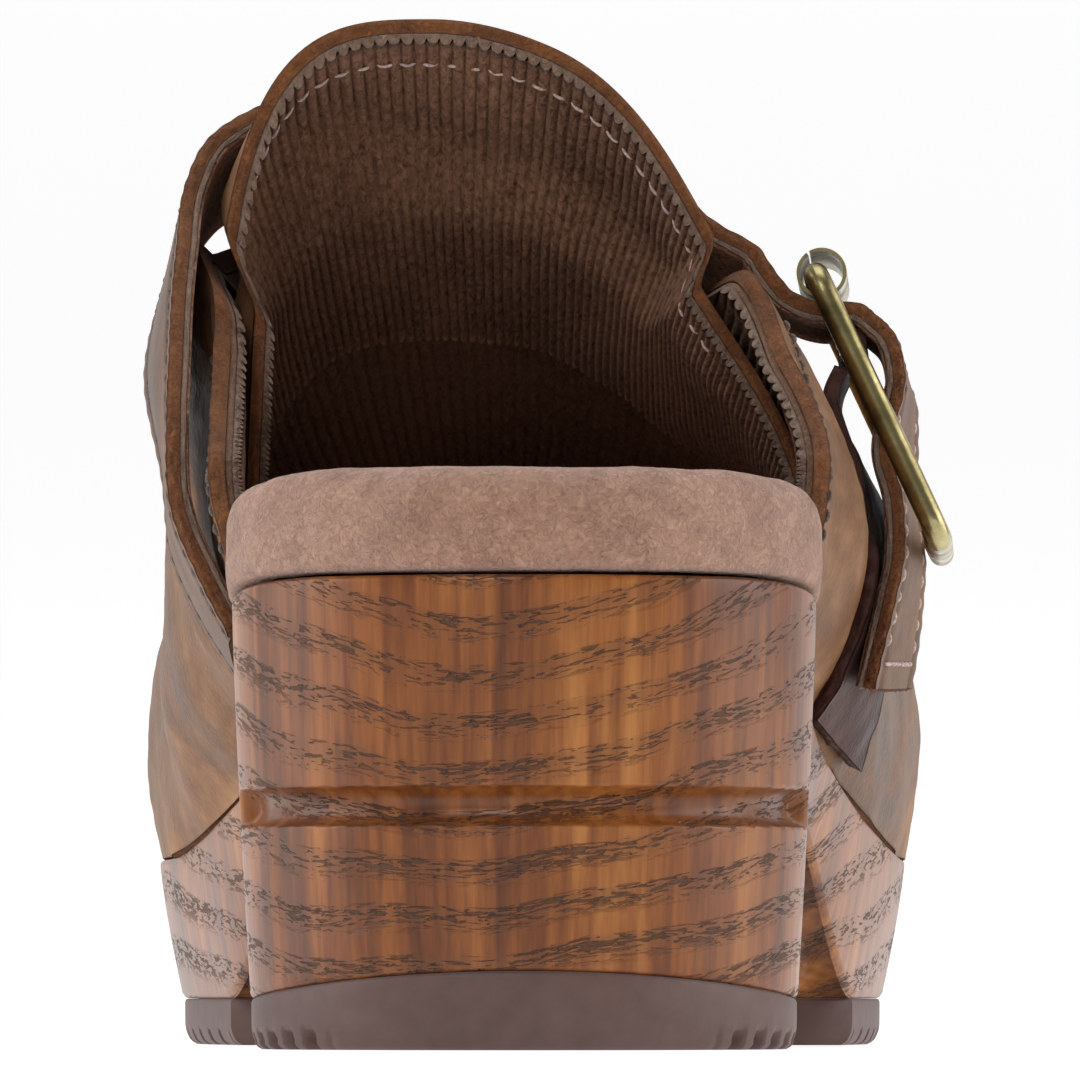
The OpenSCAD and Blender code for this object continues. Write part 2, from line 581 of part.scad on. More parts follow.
wood_base();
heel_lift();
forefoot_sole();
heel_lift_nails();
forefoot_sole_nails();
insole_board();
footbed_foam();
footbed_cover();
vamp_leather();
vamp_padding();
toe_puff();
vamp_lining();
lasting_tacks();
tongue_leather();
tongue_lining();
instep_strap_leather();
instep_strap_lining();
anchor_strap();
buckle_frame();
buckle_roller();
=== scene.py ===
import bpy
import numpy as np
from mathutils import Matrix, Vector


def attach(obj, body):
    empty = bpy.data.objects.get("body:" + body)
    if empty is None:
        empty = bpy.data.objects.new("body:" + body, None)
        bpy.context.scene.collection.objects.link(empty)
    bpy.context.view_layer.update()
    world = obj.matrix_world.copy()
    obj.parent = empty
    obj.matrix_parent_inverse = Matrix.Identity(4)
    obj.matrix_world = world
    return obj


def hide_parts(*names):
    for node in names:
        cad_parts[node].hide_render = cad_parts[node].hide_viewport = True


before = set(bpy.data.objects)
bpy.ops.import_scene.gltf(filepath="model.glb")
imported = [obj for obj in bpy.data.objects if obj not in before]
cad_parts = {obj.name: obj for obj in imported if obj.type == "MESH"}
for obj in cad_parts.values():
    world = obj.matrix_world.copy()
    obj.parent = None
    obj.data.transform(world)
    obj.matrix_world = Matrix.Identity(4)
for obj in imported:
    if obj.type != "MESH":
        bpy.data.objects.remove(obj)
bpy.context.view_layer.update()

MM = 0.001
RNG = np.random.default_rng(11)

# ---- sizes, in millimetres, the same as the part's own ------------------------
HEEL_R, HEEL_Y, BALL_Y, TOE_X, TOE_REACH = 34.0, -4.0, 145.0, -7.0, 221.0
BALL_W = 95.0
PLATFORM_H, SEAT_H, TOE_SPRING, ARCH_H = 23.4, 54.2, 5.0, 27.0
HEEL_LEAN, PLATFORM_LEAN = 2.2, 3.0
GROOVE_H, GROOVE_D, GROOVE_Z = 4.5, 2.5, 27.9
SOLE_T, LIFT_RISE, BREAST_Y, TREAD_Y = 5.8, 3.3, 28.0, 101.0
NOTCH_W, NOTCH_DEPTH = 1.6, 2.2
FOOTBED_H, FOOTBED_TOE_H = 12.4, 5.4
INSTEP_H, WING_SWELL, STRAP_TUCK = 125.4, 3.4, 3.0
LEATHER_T, PADDING_T, LINING_T, TONGUE_T = 2.0, 0.8, 1.2, 1.4
UPPER_T = LEATHER_T + PADDING_T + LINING_T
SEAT_GAP = 0.15
FORM_TOE = TOE_REACH + 1.2
TIP_SHARE = 0.4
DENT, DENT_AT, DENT_W, DENT_LOW_W, BULGE = 4.6, 44.0, 32.0, 44.0, 5.5
WING_Y, CORNER_IN, CORNER_OUT, CORNER_Y, THROAT_Y = 9.0, 0.5, 0.40, 46.0, 80.0
STRAP_W, STRAP_LEATHER_T, STRAP_LINING_T = 24.0, 1.7, 1.1
BUCKLE_LEN, BAR_DROP, WIRE_R, ROLLER_R, ROLLER_WALL = 35.5, 9.2, 1.5, 3.05, 0.45
BUCKLE_TURN = (25.0, 2.5, 2.3)


# ---- small functions ----------------------------------------------------------
def ease(t):
    """Smooth step: 0 below 0, 1 above 1, 3t^2 - 2t^3 between."""
    u = np.clip(t, 0, 1)
    return u * u * (3 - 2 * u)


def lerp(a, b, t):
    return a + (b - a) * t


def closing(t, n):
    """How wide a superellipse of power n still is at share t of its length."""
    return np.maximum(0, 1 - np.clip(t, 0, 1) ** n) ** (1 / n)


def unit(v):
    return v / np.maximum(np.linalg.norm(v, axis=-1, keepdims=True), 1e-12)


def bell(d, width):
    """Round hump: exp(-(d/width)^2)."""
    return np.exp(-((d / width) ** 2))


def waves(p, seed, size, octaves=3):
    """Soft pseudo-random height over points: a sum of sines whose directions, phases and
    wavelengths (size, size/2, ...) are drawn from a seeded generator."""
    gen = np.random.default_rng(seed)
    out = np.zeros(p.shape[:-1])
    for o in range(octaves):
        for _ in range(5):
            way = unit(gen.normal(size=3)) * (2 * np.pi / (size / 2 ** o))
            out += np.sin(p @ way + gen.uniform(0, 6.28)) / 2 ** o / 5 ** 0.5
    return out


# ---- outline and heights of the wood ------------------------------------------
def width_outer(y):
    return lerp(HEEL_R, BALL_W * 0.51, ease((y - 35) / (BALL_Y - 37)))


def width_inner(y):
    wide = lerp(HEEL_R, BALL_W * 0.49, ease((y - 62) / (BALL_Y - 57)))
    return wide - 2.2 * ease((y - 8) / 40) * (1 - ease((y - 60) / 40))


def heel_half(y, d):
    return np.sqrt(np.maximum(0, (HEEL_R - d) ** 2 - np.minimum(0, y - HEEL_Y) ** 2))


def close_y(y, d):
    return (y - BALL_Y) / (TOE_REACH - d - BALL_Y)


def edge_outer(y, d):
    ahead = TOE_X + (width_outer(y) - d - TOE_X) * closing(close_y(y, d), 2.1)
    return np.where(y < HEEL_Y, heel_half(y, d), ahead)


def edge_inner(y, d):
    ahead = TOE_X - (width_inner(y) - d + TOE_X) * closing(close_y(y, d), 2.6)
    return np.where(y < HEEL_Y, -heel_half(y, d), ahead)


def spring(y):
    return TOE_SPRING * np.clip((y - 168) / (TOE_REACH - 168), 0, 1) ** 2


def seat(y):
    return PLATFORM_H + (SEAT_H - PLATFORM_H) * ease((135 - y) / 165) + spring(y) * 0.6


def lift_top(y):
    back = HEEL_Y - HEEL_R
    return SOLE_T + LIFT_RISE * np.clip((-2 - y) / (-2 - back), 0, 1) ** 1.6


def under(y):
    arch = (ARCH_H - SOLE_T) * ease((y - BREAST_Y) / 10) * (1 - ease((y - 60) / (TREAD_Y - 56)))
    return lift_top(y) + arch + spring(y)


def pulled(y, d):
    """Where a slice lies when the outline is pulled in by d: only the round ends move."""
    toe = TOE_REACH - BALL_Y
    return np.where(y < HEEL_Y, HEEL_Y + (y - HEEL_Y) * (HEEL_R - d) / HEEL_R,
                    np.where(y > BALL_Y, BALL_Y + (y - BALL_Y) * (toe - d) / toe, y))


def outline_y(heel=150, middle=150, toe=70):
    """Slices along the shoe: even steps of angle round the heel, even steps along the
    middle, and even steps of a superellipse's angle round the toe."""
    a = np.linspace(0, np.pi / 2, heel, endpoint=False)
    m = np.linspace(HEEL_Y, BALL_Y, middle, endpoint=False)
    q = np.linspace(0, 1, toe)
    return np.concatenate([HEEL_Y - HEEL_R * np.cos(a), m,
                           BALL_Y + (TOE_REACH - BALL_Y) * np.sin(np.pi / 2 * q) ** (2 / 2.2)])


def loop_at(y, d, z):
    """Closed outline at pull d and height z, both given at each slice: the outer edge from
    heel to toe, then the inner edge back."""
    yd = pulled(y, d)
    out = np.stack([edge_outer(yd, d), yd, z], -1)
    inn = np.stack([edge_inner(yd, d), yd, z], -1)
    return np.concatenate([out, inn[::-1]])


# ---- form of the upper ----------------------------------------------------------
def swell(y):
    return lerp(WING_SWELL, 1.4, ease((y - 80) / 60))


def form_close(y, t, n):
    return closing((y - BALL_Y) / (FORM_TOE - t - BALL_Y), n)


def side_outer(y, t):
    full = 2.6 * ease((y - 34) / 14) * (1 - 0.7 * ease((y - 50) / 10)) * (1 - ease((y - 80) / 30))
    full = full - 1.2 * (1 - ease((y - 24) / 16))
    return TOE_X + (width_outer(y) + swell(y) + full - t - TOE_X) * form_close(y, t, 2.1)


def side_inner(y, t):
    wide = np.maximum(width_inner(y), HEEL_R * (1 - ease((y - 60) / 30)))
    wide = wide + BULGE * ease((y - 43) / 22) * (1 - ease((y - 82) / 36))
    return TOE_X - (wide + swell(y) - t + TOE_X) * form_close(y, t, 2.6)


def crest(y, t):
    low = seat(y) + 4
    line = INSTEP_H - 0.66 * (y - 50) + 0.0011 * (y - 50) ** 2
    return low + (line - t * 1.2 - low) * closing((y - 165) / (FORM_TOE - t - 165), 2.7)


def crest_x(y):
    return lerp(-11, TOE_X, ease((y - 50) / 120))


def belly(y):
    return lerp(lerp(22, 12.6, ease((y - 50) / 95)), 9, ease((y - BALL_Y) / 60))


def arc_r(a, b, n, psi):
    c, s = np.abs(np.cos(psi)), np.abs(np.sin(psi))
    return ((c / np.maximum(a, 1e-6)) ** n + (s / np.maximum(b, 1e-6)) ** n) ** (-1 / n)


def base_in(y):
    return STRAP_TUCK * (1 - ease((y - 62) / 12))


def form(y, k, t):
    """Point of the upper, t inside its outer skin, at y along the shoe. k goes round the
    section: -1 on the wood at the inner side, 0 widest, 1 crest, 2 widest outer side, 3 on
    the wood. Sides are quarter superellipses; below them a parabola turns in to the wood."""
    y, k, t = np.broadcast_arrays(*[np.asarray(v, float) for v in (y, k, t)])
    top = crest(y, t)
    zs, zc = seat(y) + SEAT_GAP, seat(y) + np.minimum(belly(y), (top - seat(y)) * 0.6)
    s = np.clip(np.where(k < 0, 1 + k, 3 - k), 0, 1)
    wi, wo = side_inner(y, t), side_outer(y, t)
    bi = np.minimum(edge_inner(y, base_in(y) + t), lerp(TOE_X, wi, TIP_SHARE))
    bo = np.maximum(edge_outer(y, base_in(y) + t), lerp(TOE_X, wo, TIP_SHARE))
    low_x = np.where(k < 0, wi + (bi - wi) * (1 - s) ** 2, wo + (bo - wo) * (1 - s) ** 2)
    psi_i, psi_o = np.pi / 2 * np.clip(k, 0, 1), np.pi / 2 * np.clip(2 - k, 0, 1)
    xa, rise = crest_x(y), top - zc
    power_i = lerp(3.3, 2.3, ease((y - 50) / 90))
    power_o = lerp(1.85, 2.15, ease((y - 50) / 90))
    off = np.degrees(psi_o) - DENT_AT
    dent = DENT * (1.5 - 0.5 * ease((y - 30) / 25))
    dent = dent * ease(1 - np.maximum(off, 0) / DENT_W - np.maximum(-off, 0) / DENT_LOW_W)
    dent = dent * ease((y - 5) / 25) * (1 - ease((y - 82) / 35))
    ri = arc_r(xa - wi, rise, power_i, psi_i)
    ro = arc_r(wo - xa, rise, power_o, psi_o) - dent
    x = np.where(k < 1, xa - ri * np.cos(psi_i), xa + ro * np.cos(psi_o))
    z = np.where(k < 1, zc + ri * np.sin(psi_i), zc + ro * np.sin(psi_o))
    low = (k < 0) | (k > 2)
    return np.stack([np.where(low, low_x, x), y, np.where(low, lerp(zs, zc, s), z)], -1)


def form_normal(y, k, t):
    """Outward direction of the form: the cross product of its two slopes."""
    dk = form(y, k + 0.01, t) - form(y, k - 0.01, t)
    dy = form(y + 0.3, k, t) - form(y - 0.3, k, t)
    return unit(np.cross(dk, dy)) * -1


def rear_half(u, corner):
    drop = lerp(CORNER_Y, THROAT_Y, ease((u - corner) / 0.22))
    up = lerp(19, CORNER_Y, np.clip(u, 0, corner) / corner)
    return np.where(u < 0, lerp(WING_Y, 19, 1 + u), np.where(u < corner, up, drop))


def rear_y(k):
    return np.where(k < 1, rear_half(k, CORNER_IN), rear_half(2 - k, CORNER_OUT))


# ---- meshes -----------------------------------------------------------------------
class Shell:
    """Surface patches on grids, gathered into one mesh with the shared edges merged."""

    def __init__(self):
        self.points, self.faces, self.slots, self.uvs, self.count = [], [], [], [], 0

    def grid(self, p, slot=0, flip=False, uv=None, wrap=False):
        """Patch p[row, column, xyz] in millimetres. wrap joins the last column to the first."""
        rows, cols = p.shape[:2]
        if uv is None:
            uv = arc_uv(p)
        ids = np.arange(rows * cols).reshape(rows, cols)
        if wrap:
            ids = np.concatenate([ids, ids[:, :1]], 1)
        quad = np.stack([ids[:-1, :-1], ids[:-1, 1:], ids[1:, 1:], ids[1:, :-1]], -1).reshape(-1, 4)
        if flip:
            quad = quad[:, ::-1]
        self.points.append(p.reshape(-1, 3))
        self.uvs.append(uv.reshape(-1, 2))
        self.faces.append(quad + self.count)
        self.slots.append(np.full(len(quad), slot))
        self.count += rows * cols

    def build(self, name, materials, smooth=True):
        p, uv = np.concatenate(self.points), np.concatenate(self.uvs)
        faces, slots = np.concatenate(self.faces), np.concatenate(self.slots)
        _, first, back = np.unique(np.round(p, 4), axis=0, return_index=True, return_inverse=True)
        merged = back.reshape(-1)[faces]
        same = [merged[:, i] == merged[:, (i + 1) % 4] for i in range(4)]
        keep = np.sum(same, 0) <= 1
        keep &= (merged[:, 0] != merged[:, 2]) & (merged[:, 1] != merged[:, 3])
        merged, faces, slots, same = merged[keep], faces[keep], slots[keep], np.array(same)[:, keep]
        use = ~np.roll(same, 1, axis=0).T
        mesh = bpy.data.meshes.new(name)
        mesh.vertices.add(len(first))
        mesh.vertices.foreach_set("co", (p[first] * MM).astype(np.float32).ravel())
        total = use.sum(1)
        mesh.loops.add(int(total.sum()))
        mesh.loops.foreach_set("vertex_index", merged[use].astype(np.int32))
        mesh.polygons.add(len(merged))
        mesh.polygons.foreach_set("loop_start", (np.cumsum(total) - total).astype(np.int32))
        mesh.polygons.foreach_set("material_index", slots.astype(np.int32))
        mesh.polygons.foreach_set("use_smooth", np.full(len(merged), smooth))
        mesh.update(calc_edges=True)
        layer = mesh.uv_layers.new(name="lay")
        layer.data.foreach_set("uv", (uv[faces[use]] * MM).astype(np.float32).ravel())
        mesh.validate()
        ob = bpy.data.objects.new(name, mesh)
        bpy.context.scene.collection.objects.link(ob)
        for m in materials:
            mesh.materials.append(m)
        return ob


def arc_uv(p):
    """Distances in millimetres along a patch's columns and rows, as its flat layout."""
    across = np.linalg.norm(np.diff(p, axis=1), axis=-1).mean(0)
    down = np.linalg.norm(np.diff(p, axis=0), axis=-1).mean(1)
    u, v = np.concatenate([[0], np.cumsum(across)]), np.concatenate([[0], np.cumsum(down)])
    return np.stack(np.broadcast_arrays(u[None, :], v[:, None]), -1)


def thick_sheet(shell, top, under_side, slots=(0, 1, 2), bulge=0.25, steps=6, rough=0.0, seed=0):
    """Closes two patches, top[row, column] and the patch below it, into one sheet. Each
    border is a strip from one to the other that swells outward by bulge, times the sine
    of its way across, plus a rough raw-cut noise."""
    shell.grid(top, slots[0])
    shell.grid(under_side, slots[1], flip=True)
    gen = np.random.default_rng(seed)
    for get, turn in ((lambda a: a[0], True), (lambda a: a[-1], False),
                      (lambda a: a[:, 0], False), (lambda a: a[:, -1], True)):
        a, b = get(top), get(under_side)
        if a.shape == top[0].shape and np.array_equal(a, top[0]):
            out = top[0] - top[1]
        elif a.shape == top[-1].shape and np.array_equal(a, top[-1]):
            out = top[-1] - top[-2]
        elif np.array_equal(a, top[:, 0]):
            out = top[:, 0] - top[:, 1]
        else:
            out = top[:, -1] - top[:, -2]
        out = unit(out)
        n = len(a)
        s = np.linspace(0, 1, steps + 1)[:, None, None]
        ends = np.minimum(1, np.minimum(np.arange(n), np.arange(n)[::-1]) / 4.0)[None, :, None]
        swell_out = np.sin(np.pi * s) ** 0.6 * bulge * ends
        if rough:
            jag = gen.normal(size=(steps + 1, n))
            jag = (jag + np.roll(jag, 1, 1) + np.roll(jag, -1, 1)) / 2
            swell_out = swell_out + (np.sin(np.pi * s[..., 0]) * jag * rough)[..., None] * ends
        strip = a[None] * (1 - s) + b[None] * s + out[None] * swell_out
        shell.grid(strip, slots[2], flip=not turn)


def smooth_curve(p, steps):
    """Catmull-Rom curve through points p, with that many steps between each pair."""
    p = np.asarray(p, float)
    a = np.concatenate([p[:1], p[:-1]])[: len(p) - 1]
    b, c = p[:-1], p[1:]
    d = np.concatenate([p[2:], p[-1:]])
    t = (np.arange(steps) / steps)[None, :, None]
    a, b, c, d = (v[:, None] for v in (a, b, c, d))
    q = 0.5 * (2 * b + (c - a) * t + (2 * a - 5 * b + 4 * c - d) * t ** 2
               + (3 * b - a - 3 * c + d) * t ** 3)
    return np.concatenate([q.reshape(-1, 3), p[-1:]])


def even(path, pitch, start=0.0, extra=()):
    """Points along a path every pitch, with other arrays read at the same places."""
    run = np.concatenate([[0], np.cumsum(np.linalg.norm(np.diff(path, axis=0), axis=-1))])
    at = np.arange(start, run[-1] - start, pitch)
    return [np.stack([np.interp(at, run, a[:, i]) for i in range(3)], -1) for a in (path, *extra)]


def thread(name, rows, material, body="shoe", pitch=2.7, length=2.05, radius=0.3, lift=0.05):
    """Stitches: each is a short capsule along its row that dips into the leather at both
    ends. rows are (path, outward direction) pairs."""
    shell = Shell()
    a = np.linspace(0, 2 * np.pi, 8, endpoint=False)
    s = np.linspace(-1, 1, 9)
    fat = radius * np.sqrt(np.maximum(0.02, 1 - np.abs(s) ** 3.2))
    for path, out in rows:
        at, way = even(path, pitch, pitch * 0.5, (out,))
        if len(at) < 2:
            continue
        along, way = unit(np.gradient(at, axis=0)), unit(way)
        side = unit(np.cross(along, way))
        jit = RNG.normal(0, 0.06, (len(at), 1, 1))
        mid = (at[:, None] + along[:, None] * s[None, :, None] * length / 2 * (1 + jit)
               + way[:, None] * (lift + radius * 0.3 - s[None, :, None] ** 2 * radius * 1.1)
               + side[:, None] * (s[None, :, None] * jit))
        ring = (side[:, None, None] * np.cos(a)[None, None, :, None] * fat[None, :, None, None]
                + way[:, None, None] * np.sin(a)[None, None, :, None] * fat[None, :, None, None])
        tube = mid[:, :, None] + ring
        for one in tube:
            shell.grid(one, wrap=True)
    ob = shell.build(name, [material])
    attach(ob, body)
    return ob


# ---- materials -----------------------------------------------------------------------
class Look:
    """A Principled material built up from small node steps."""

    def __init__(self, name, rough=0.5, metal=0.0, coords="Object"):
        self.mat = bpy.data.materials.new(name)
        self.mat.use_nodes = True
        self.tree = self.mat.node_tree
        self.shader = self.tree.nodes["Principled BSDF"]
        self.set(Roughness=rough, Metallic=metal)
        self.place = self.tree.nodes.new("ShaderNodeTexCoord").outputs[coords]

    def set(self, **values):
        for key, value in values.items():
            self.shader.inputs[key.replace("_", " ")].default_value = value

    def link(self, a, b):
        self.tree.links.new(a, b)
        return a

    def scaled(self, scale, source=None):
        n = self.tree.nodes.new("ShaderNodeVectorMath")
        n.operation = "MULTIPLY"
        self.link(source or self.place, n.inputs[0])
        n.inputs[1].default_value = scale
        return n.outputs[0]

    def noise(self, vec, detail=4.0, rough=0.55, distort=0.0, scale=1.0):
        n = self.tree.nodes.new("ShaderNodeTexNoise")
        n.inputs["Scale"].default_value = scale
        n.inputs["Detail"].default_value = detail
        n.inputs["Roughness"].default_value = rough
        n.inputs["Distortion"].default_value = distort
        self.link(vec, n.inputs["Vector"])
        return n.outputs["Fac"]

    def cells(self, vec, scale=1.0, feature="F1"):
        n = self.tree.nodes.new("ShaderNodeTexVoronoi")
        n.feature = feature
        n.inputs["Scale"].default_value = scale
        self.link(vec, n.inputs["Vector"])
        return n.outputs["Distance"]

    def math(self, op, a, b=0.0, c=None):
        n = self.tree.nodes.new("ShaderNodeMath")
        n.operation = op
        for i, v in enumerate((a, b) if c is None else (a, b, c)):
            if isinstance(v, (int, float)):
                n.inputs[i].default_value = v
            else:
                self.link(v, n.inputs[i])
        return n.outputs[0]

    def step(self, v, lo, hi, to=(0.0, 1.0)):
        n = self.tree.nodes.new("ShaderNodeMapRange")
        n.interpolation_type = "SMOOTHSTEP"
        self.link(v, n.inputs["Value"])
        n.inputs["From Min"].default_value = lo
        n.inputs["From Max"].default_value = hi
        n.inputs["To Min"].default_value = to[0]
        n.inputs["To Max"].default_value = to[1]
        return n.outputs["Result"]

    def ramp(self, v, stops):
        n = self.tree.nodes.new("ShaderNodeValToRGB")
        e = n.color_ramp.elements
        while len(e) < len(stops):
            e.new(0.5)
        for el, (at, col) in zip(e, stops):
            el.position = at
            el.color = (*col, 1)
        self.link(v, n.inputs["Fac"])
        return n.outputs["Color"]

    def mix(self, fac, a, b, blend="MIX"):
        n = self.tree.nodes.new("ShaderNodeMix")
        n.data_type = "RGBA"
        n.blend_type = blend
        for sock, v in ((n.inputs["Factor"], fac), (n.inputs[6], a), (n.inputs[7], b)):
            if isinstance(v, tuple):
                sock.default_value = (*v, 1)
            elif isinstance(v, (int, float)):
                sock.default_value = v
            else:
                self.link(v, sock)
        return n.outputs[2]

    def color(self, c):
        if isinstance(c, tuple):
            self.shader.inputs["Base Color"].default_value = (*c, 1)
        else:
            self.link(c, self.shader.inputs["Base Color"])

    def bump(self, height, depth, strength=1.0):
        n = self.tree.nodes.new("ShaderNodeBump")
        n.inputs["Distance"].default_value = depth
        n.inputs["Strength"].default_value = strength
        self.link(height, n.inputs["Height"])
        old = self.shader.inputs["Normal"].links
        if old:
            self.link(old[0].from_socket, n.inputs["Normal"])
        self.link(n.outputs["Normal"], self.shader.inputs["Normal"])

    def parts(self, source=None):
        n = self.tree.nodes.new("ShaderNodeSeparateXYZ")
        self.link(source or self.place, n.inputs[0])
        return n.outputs[0], n.outputs[1], n.outputs[2]

    def join(self, x, y, z):
        n = self.tree.nodes.new("ShaderNodeCombineXYZ")
        for i, v in enumerate((x, y, z)):
            if isinstance(v, (int, float)):
                n.inputs[i].default_value = v
            else:
                self.link(v, n.inputs[i])
        return n.outputs[0]


def oak_look():
    """Oiled oak: growth rings are shells round a line above the shoe, each with a row of
    short dark pores; upright flames of orange and brown run between them."""
    m = Look("oiled_oak", rough=0.38)
    x, y, z = m.parts()
    warp = m.noise(m.scaled((22, 10, 14)), detail=2)
    dx, dz = m.math("ADD", x, 0.004), m.math("SUBTRACT", z, 0.155)
    r2 = m.math("ADD", m.math("MULTIPLY", m.math("MULTIPLY", dx, dx), 1.7), m.math("MULTIPLY", dz, dz))
    radius = m.math("ADD", m.math("SQRT", r2), m.math("MULTIPLY", warp, 0.016))
    radius = m.math("ADD", radius, m.math("MULTIPLY", y, 0.05))
    phase = m.math("FRACT", m.math("MULTIPLY", radius, 165.0))
    band = m.math("MULTIPLY", m.step(phase, 0.0, 0.12), m.step(phase, 0.66, 0.22))
    dash = m.noise(m.join(m.math("MULTIPLY", x, 420.0), m.math("MULTIPLY", y, 420.0),
                          m.math("MULTIPLY", radius, 2600.0)), detail=3, rough=0.58, distort=0.5)
    patch = m.noise(m.scaled((45, 45, 60)), detail=2)
    pores = m.math("MULTIPLY", band, m.step(m.math("ADD", dash, m.math("MULTIPLY", patch, 0.3)), 0.675, 0.73))
    flame = m.noise(m.scaled((150, 150, 16)), detail=5, rough=0.62, distort=0.4)
    streak = m.noise(m.scaled((620, 620, 24)), detail=4, rough=0.6, distort=0.2)
    blotch = m.noise(m.scaled((34, 34, 26)), detail=3)
    tone = m.math("ADD", m.math("MULTIPLY", flame, 0.42), m.math("MULTIPLY", blotch, 0.28))
    tone = m.math("ADD", tone, m.math("MULTIPLY", streak, 0.30))
    wood = m.ramp(tone, [(0.36, (0.062, 0.018, 0.006)), (0.46, (0.150, 0.043, 0.010)),
                         (0.54, (0.250, 0.080, 0.017)), (0.66, (0.42, 0.165, 0.042))])
    wood = m.mix(m.math("MULTIPLY", band, 0.28), wood, (0.115, 0.043, 0.017))
    col = m.mix(m.math("MULTIPLY", pores, 0.75), wood, (0.060, 0.030, 0.018))
    m.color(col)
    m.link(m.step(m.math("ADD", pores, m.math("MULTIPLY", flame, 0.3)), 0.0, 1.2, (0.33, 0.75)),
           m.shader.inputs["Roughness"])
    m.bump(m.math("MULTIPLY", pores, -1.0), 0.0006)
    m.bump(flame, 0.00008)
    m.set(Coat_Weight=0.12, Coat_Roughness=0.3, Specular_IOR_Level=0.3)
    return m.mat


def rubber_look():
    m = Look("tread_rubber", rough=0.55)
    n = m.noise(m.scaled((400, 400, 400)), detail=5)
    big = m.noise(m.scaled((40, 40, 60)), detail=3)
    m.color(m.ramp(m.math("ADD", m.math("MULTIPLY", n, 0.4), m.math("MULTIPLY", big, 0.6)),
                   [(0.3, (0.070, 0.034, 0.029)), (0.7, (0.125, 0.068, 0.056))]))
    m.bump(n, 0.00006)
    return m.mat


def leather_look(name, dark, mid, light):
    """Waxed pull-up leather: broad pale scuffs over brown, fine pebbled grain."""
    m = Look(name, rough=0.5)
    big = m.noise(m.scaled((26, 20, 30)), detail=5, rough=0.62, distort=0.7)
    fine = m.noise(m.scaled((260, 200, 260)), detail=5, rough=0.6)
    grain = m.cells(m.scaled((1500, 1500, 1500)))
    tone = m.math("ADD", m.math("MULTIPLY", big, 0.75), m.math("MULTIPLY", fine, 0.25))
    m.color(m.ramp(tone, [(0.34, dark), (0.5, mid), (0.66, light)]))
    m.link(m.step(big, 0.3, 0.7, (0.42, 0.62)), m.shader.inputs["Roughness"])
    m.bump(grain, 0.00012, 0.5)
    m.bump(fine, 0.00025, 0.6)
    m.set(Sheen_Weight=0.02, Sheen_Roughness=0.5, Specular_IOR_Level=0.22)
    m.shader.inputs["Sheen Tint"].default_value = (1.0, 0.86, 0.7, 1)
    return m.mat


def fibre_look(name, dark, light, size=900, depth=0.0005, sheen=0.6):
    """Raw cut edge or napped suede: tangled short fibres, light tips over dark roots."""
    m = Look(name, rough=0.92)
    tangle = m.noise(m.scaled((size, size, size)), detail=5, rough=0.7, distort=1.6)
    clump = m.noise(m.scaled((size / 6, size / 6, size / 6)), detail=3, rough=0.6, distort=0.6)
    tone = m.math("ADD", m.math("MULTIPLY", tangle, 0.65), m.math("MULTIPLY", clump, 0.35))
    m.color(m.ramp(tone, [(0.34, dark), (0.64, light)]))
    m.bump(tone, depth * 1.6)
    m.set(Sheen_Weight=sheen, Sheen_Roughness=0.45, Specular_IOR_Level=0.2)
    return m.mat


def corduroy_look(name, dark, light):
    m = Look(name, rough=0.9)
    tuft = m.noise(m.scaled((1500, 900, 900)), detail=4, rough=0.7, distort=0.8)
    wear = m.noise(m.scaled((30, 14, 14)), detail=3)
    tone = m.math("ADD", m.math("MULTIPLY", tuft, 0.6), m.math("MULTIPLY", wear, 0.4))
    m.color(m.ramp(tone, [(0.36, dark), (0.62, light)]))
    m.bump(tuft, 0.0003)
    m.set(Sheen_Weight=0.12, Sheen_Roughness=0.4, Specular_IOR_Level=0.15)
    m.shader.inputs["Sheen Tint"].default_value = (1.0, 0.85, 0.72, 1)
    return m.mat


def brass_look():
    m = Look("antique_brass", rough=0.3, metal=1.0)
    worn = m.noise(m.scaled((120, 120, 120)), detail=5, rough=0.65)
    fine = m.noise(m.scaled((900, 900, 900)), detail=3)
    m.color(m.ramp(worn, [(0.32, (0.09, 0.075, 0.035)), (0.52, (0.30, 0.25, 0.115)),
                          (0.72, (0.56, 0.50, 0.28))]))
    m.link(m.step(worn, 0.3, 0.7, (0.42, 0.24)), m.shader.inputs["Roughness"])
    m.bump(fine, 0.00004)
    return m.mat


def steel_look():
    m = Look("dull_steel", rough=0.4, metal=1.0)
    n = m.noise(m.scaled((700, 700, 700)), detail=4)
    m.color(m.ramp(n, [(0.3, (0.28, 0.27, 0.26)), (0.7, (0.5, 0.49, 0.47))]))
    m.bump(n, 0.00003)
    return m.mat


def thread_look(name, dark, light):
    m = Look(name, rough=0.8)
    ply = m.noise(m.scaled((2500, 2500, 2500)), detail=2)
    m.color(m.ramp(ply, [(0.35, dark), (0.65, light)]))
    m.bump(ply, 0.0001)
    return m.mat


def board_look():
    m = Look("pressed_board", rough=0.9)
    n = m.noise(m.scaled((500, 500, 500)), detail=4)
    m.color(m.ramp(n, [(0.3, (0.36, 0.27, 0.18)), (0.7, (0.5, 0.4, 0.28))]))
    m.bump(n, 0.0001)
    return m.mat


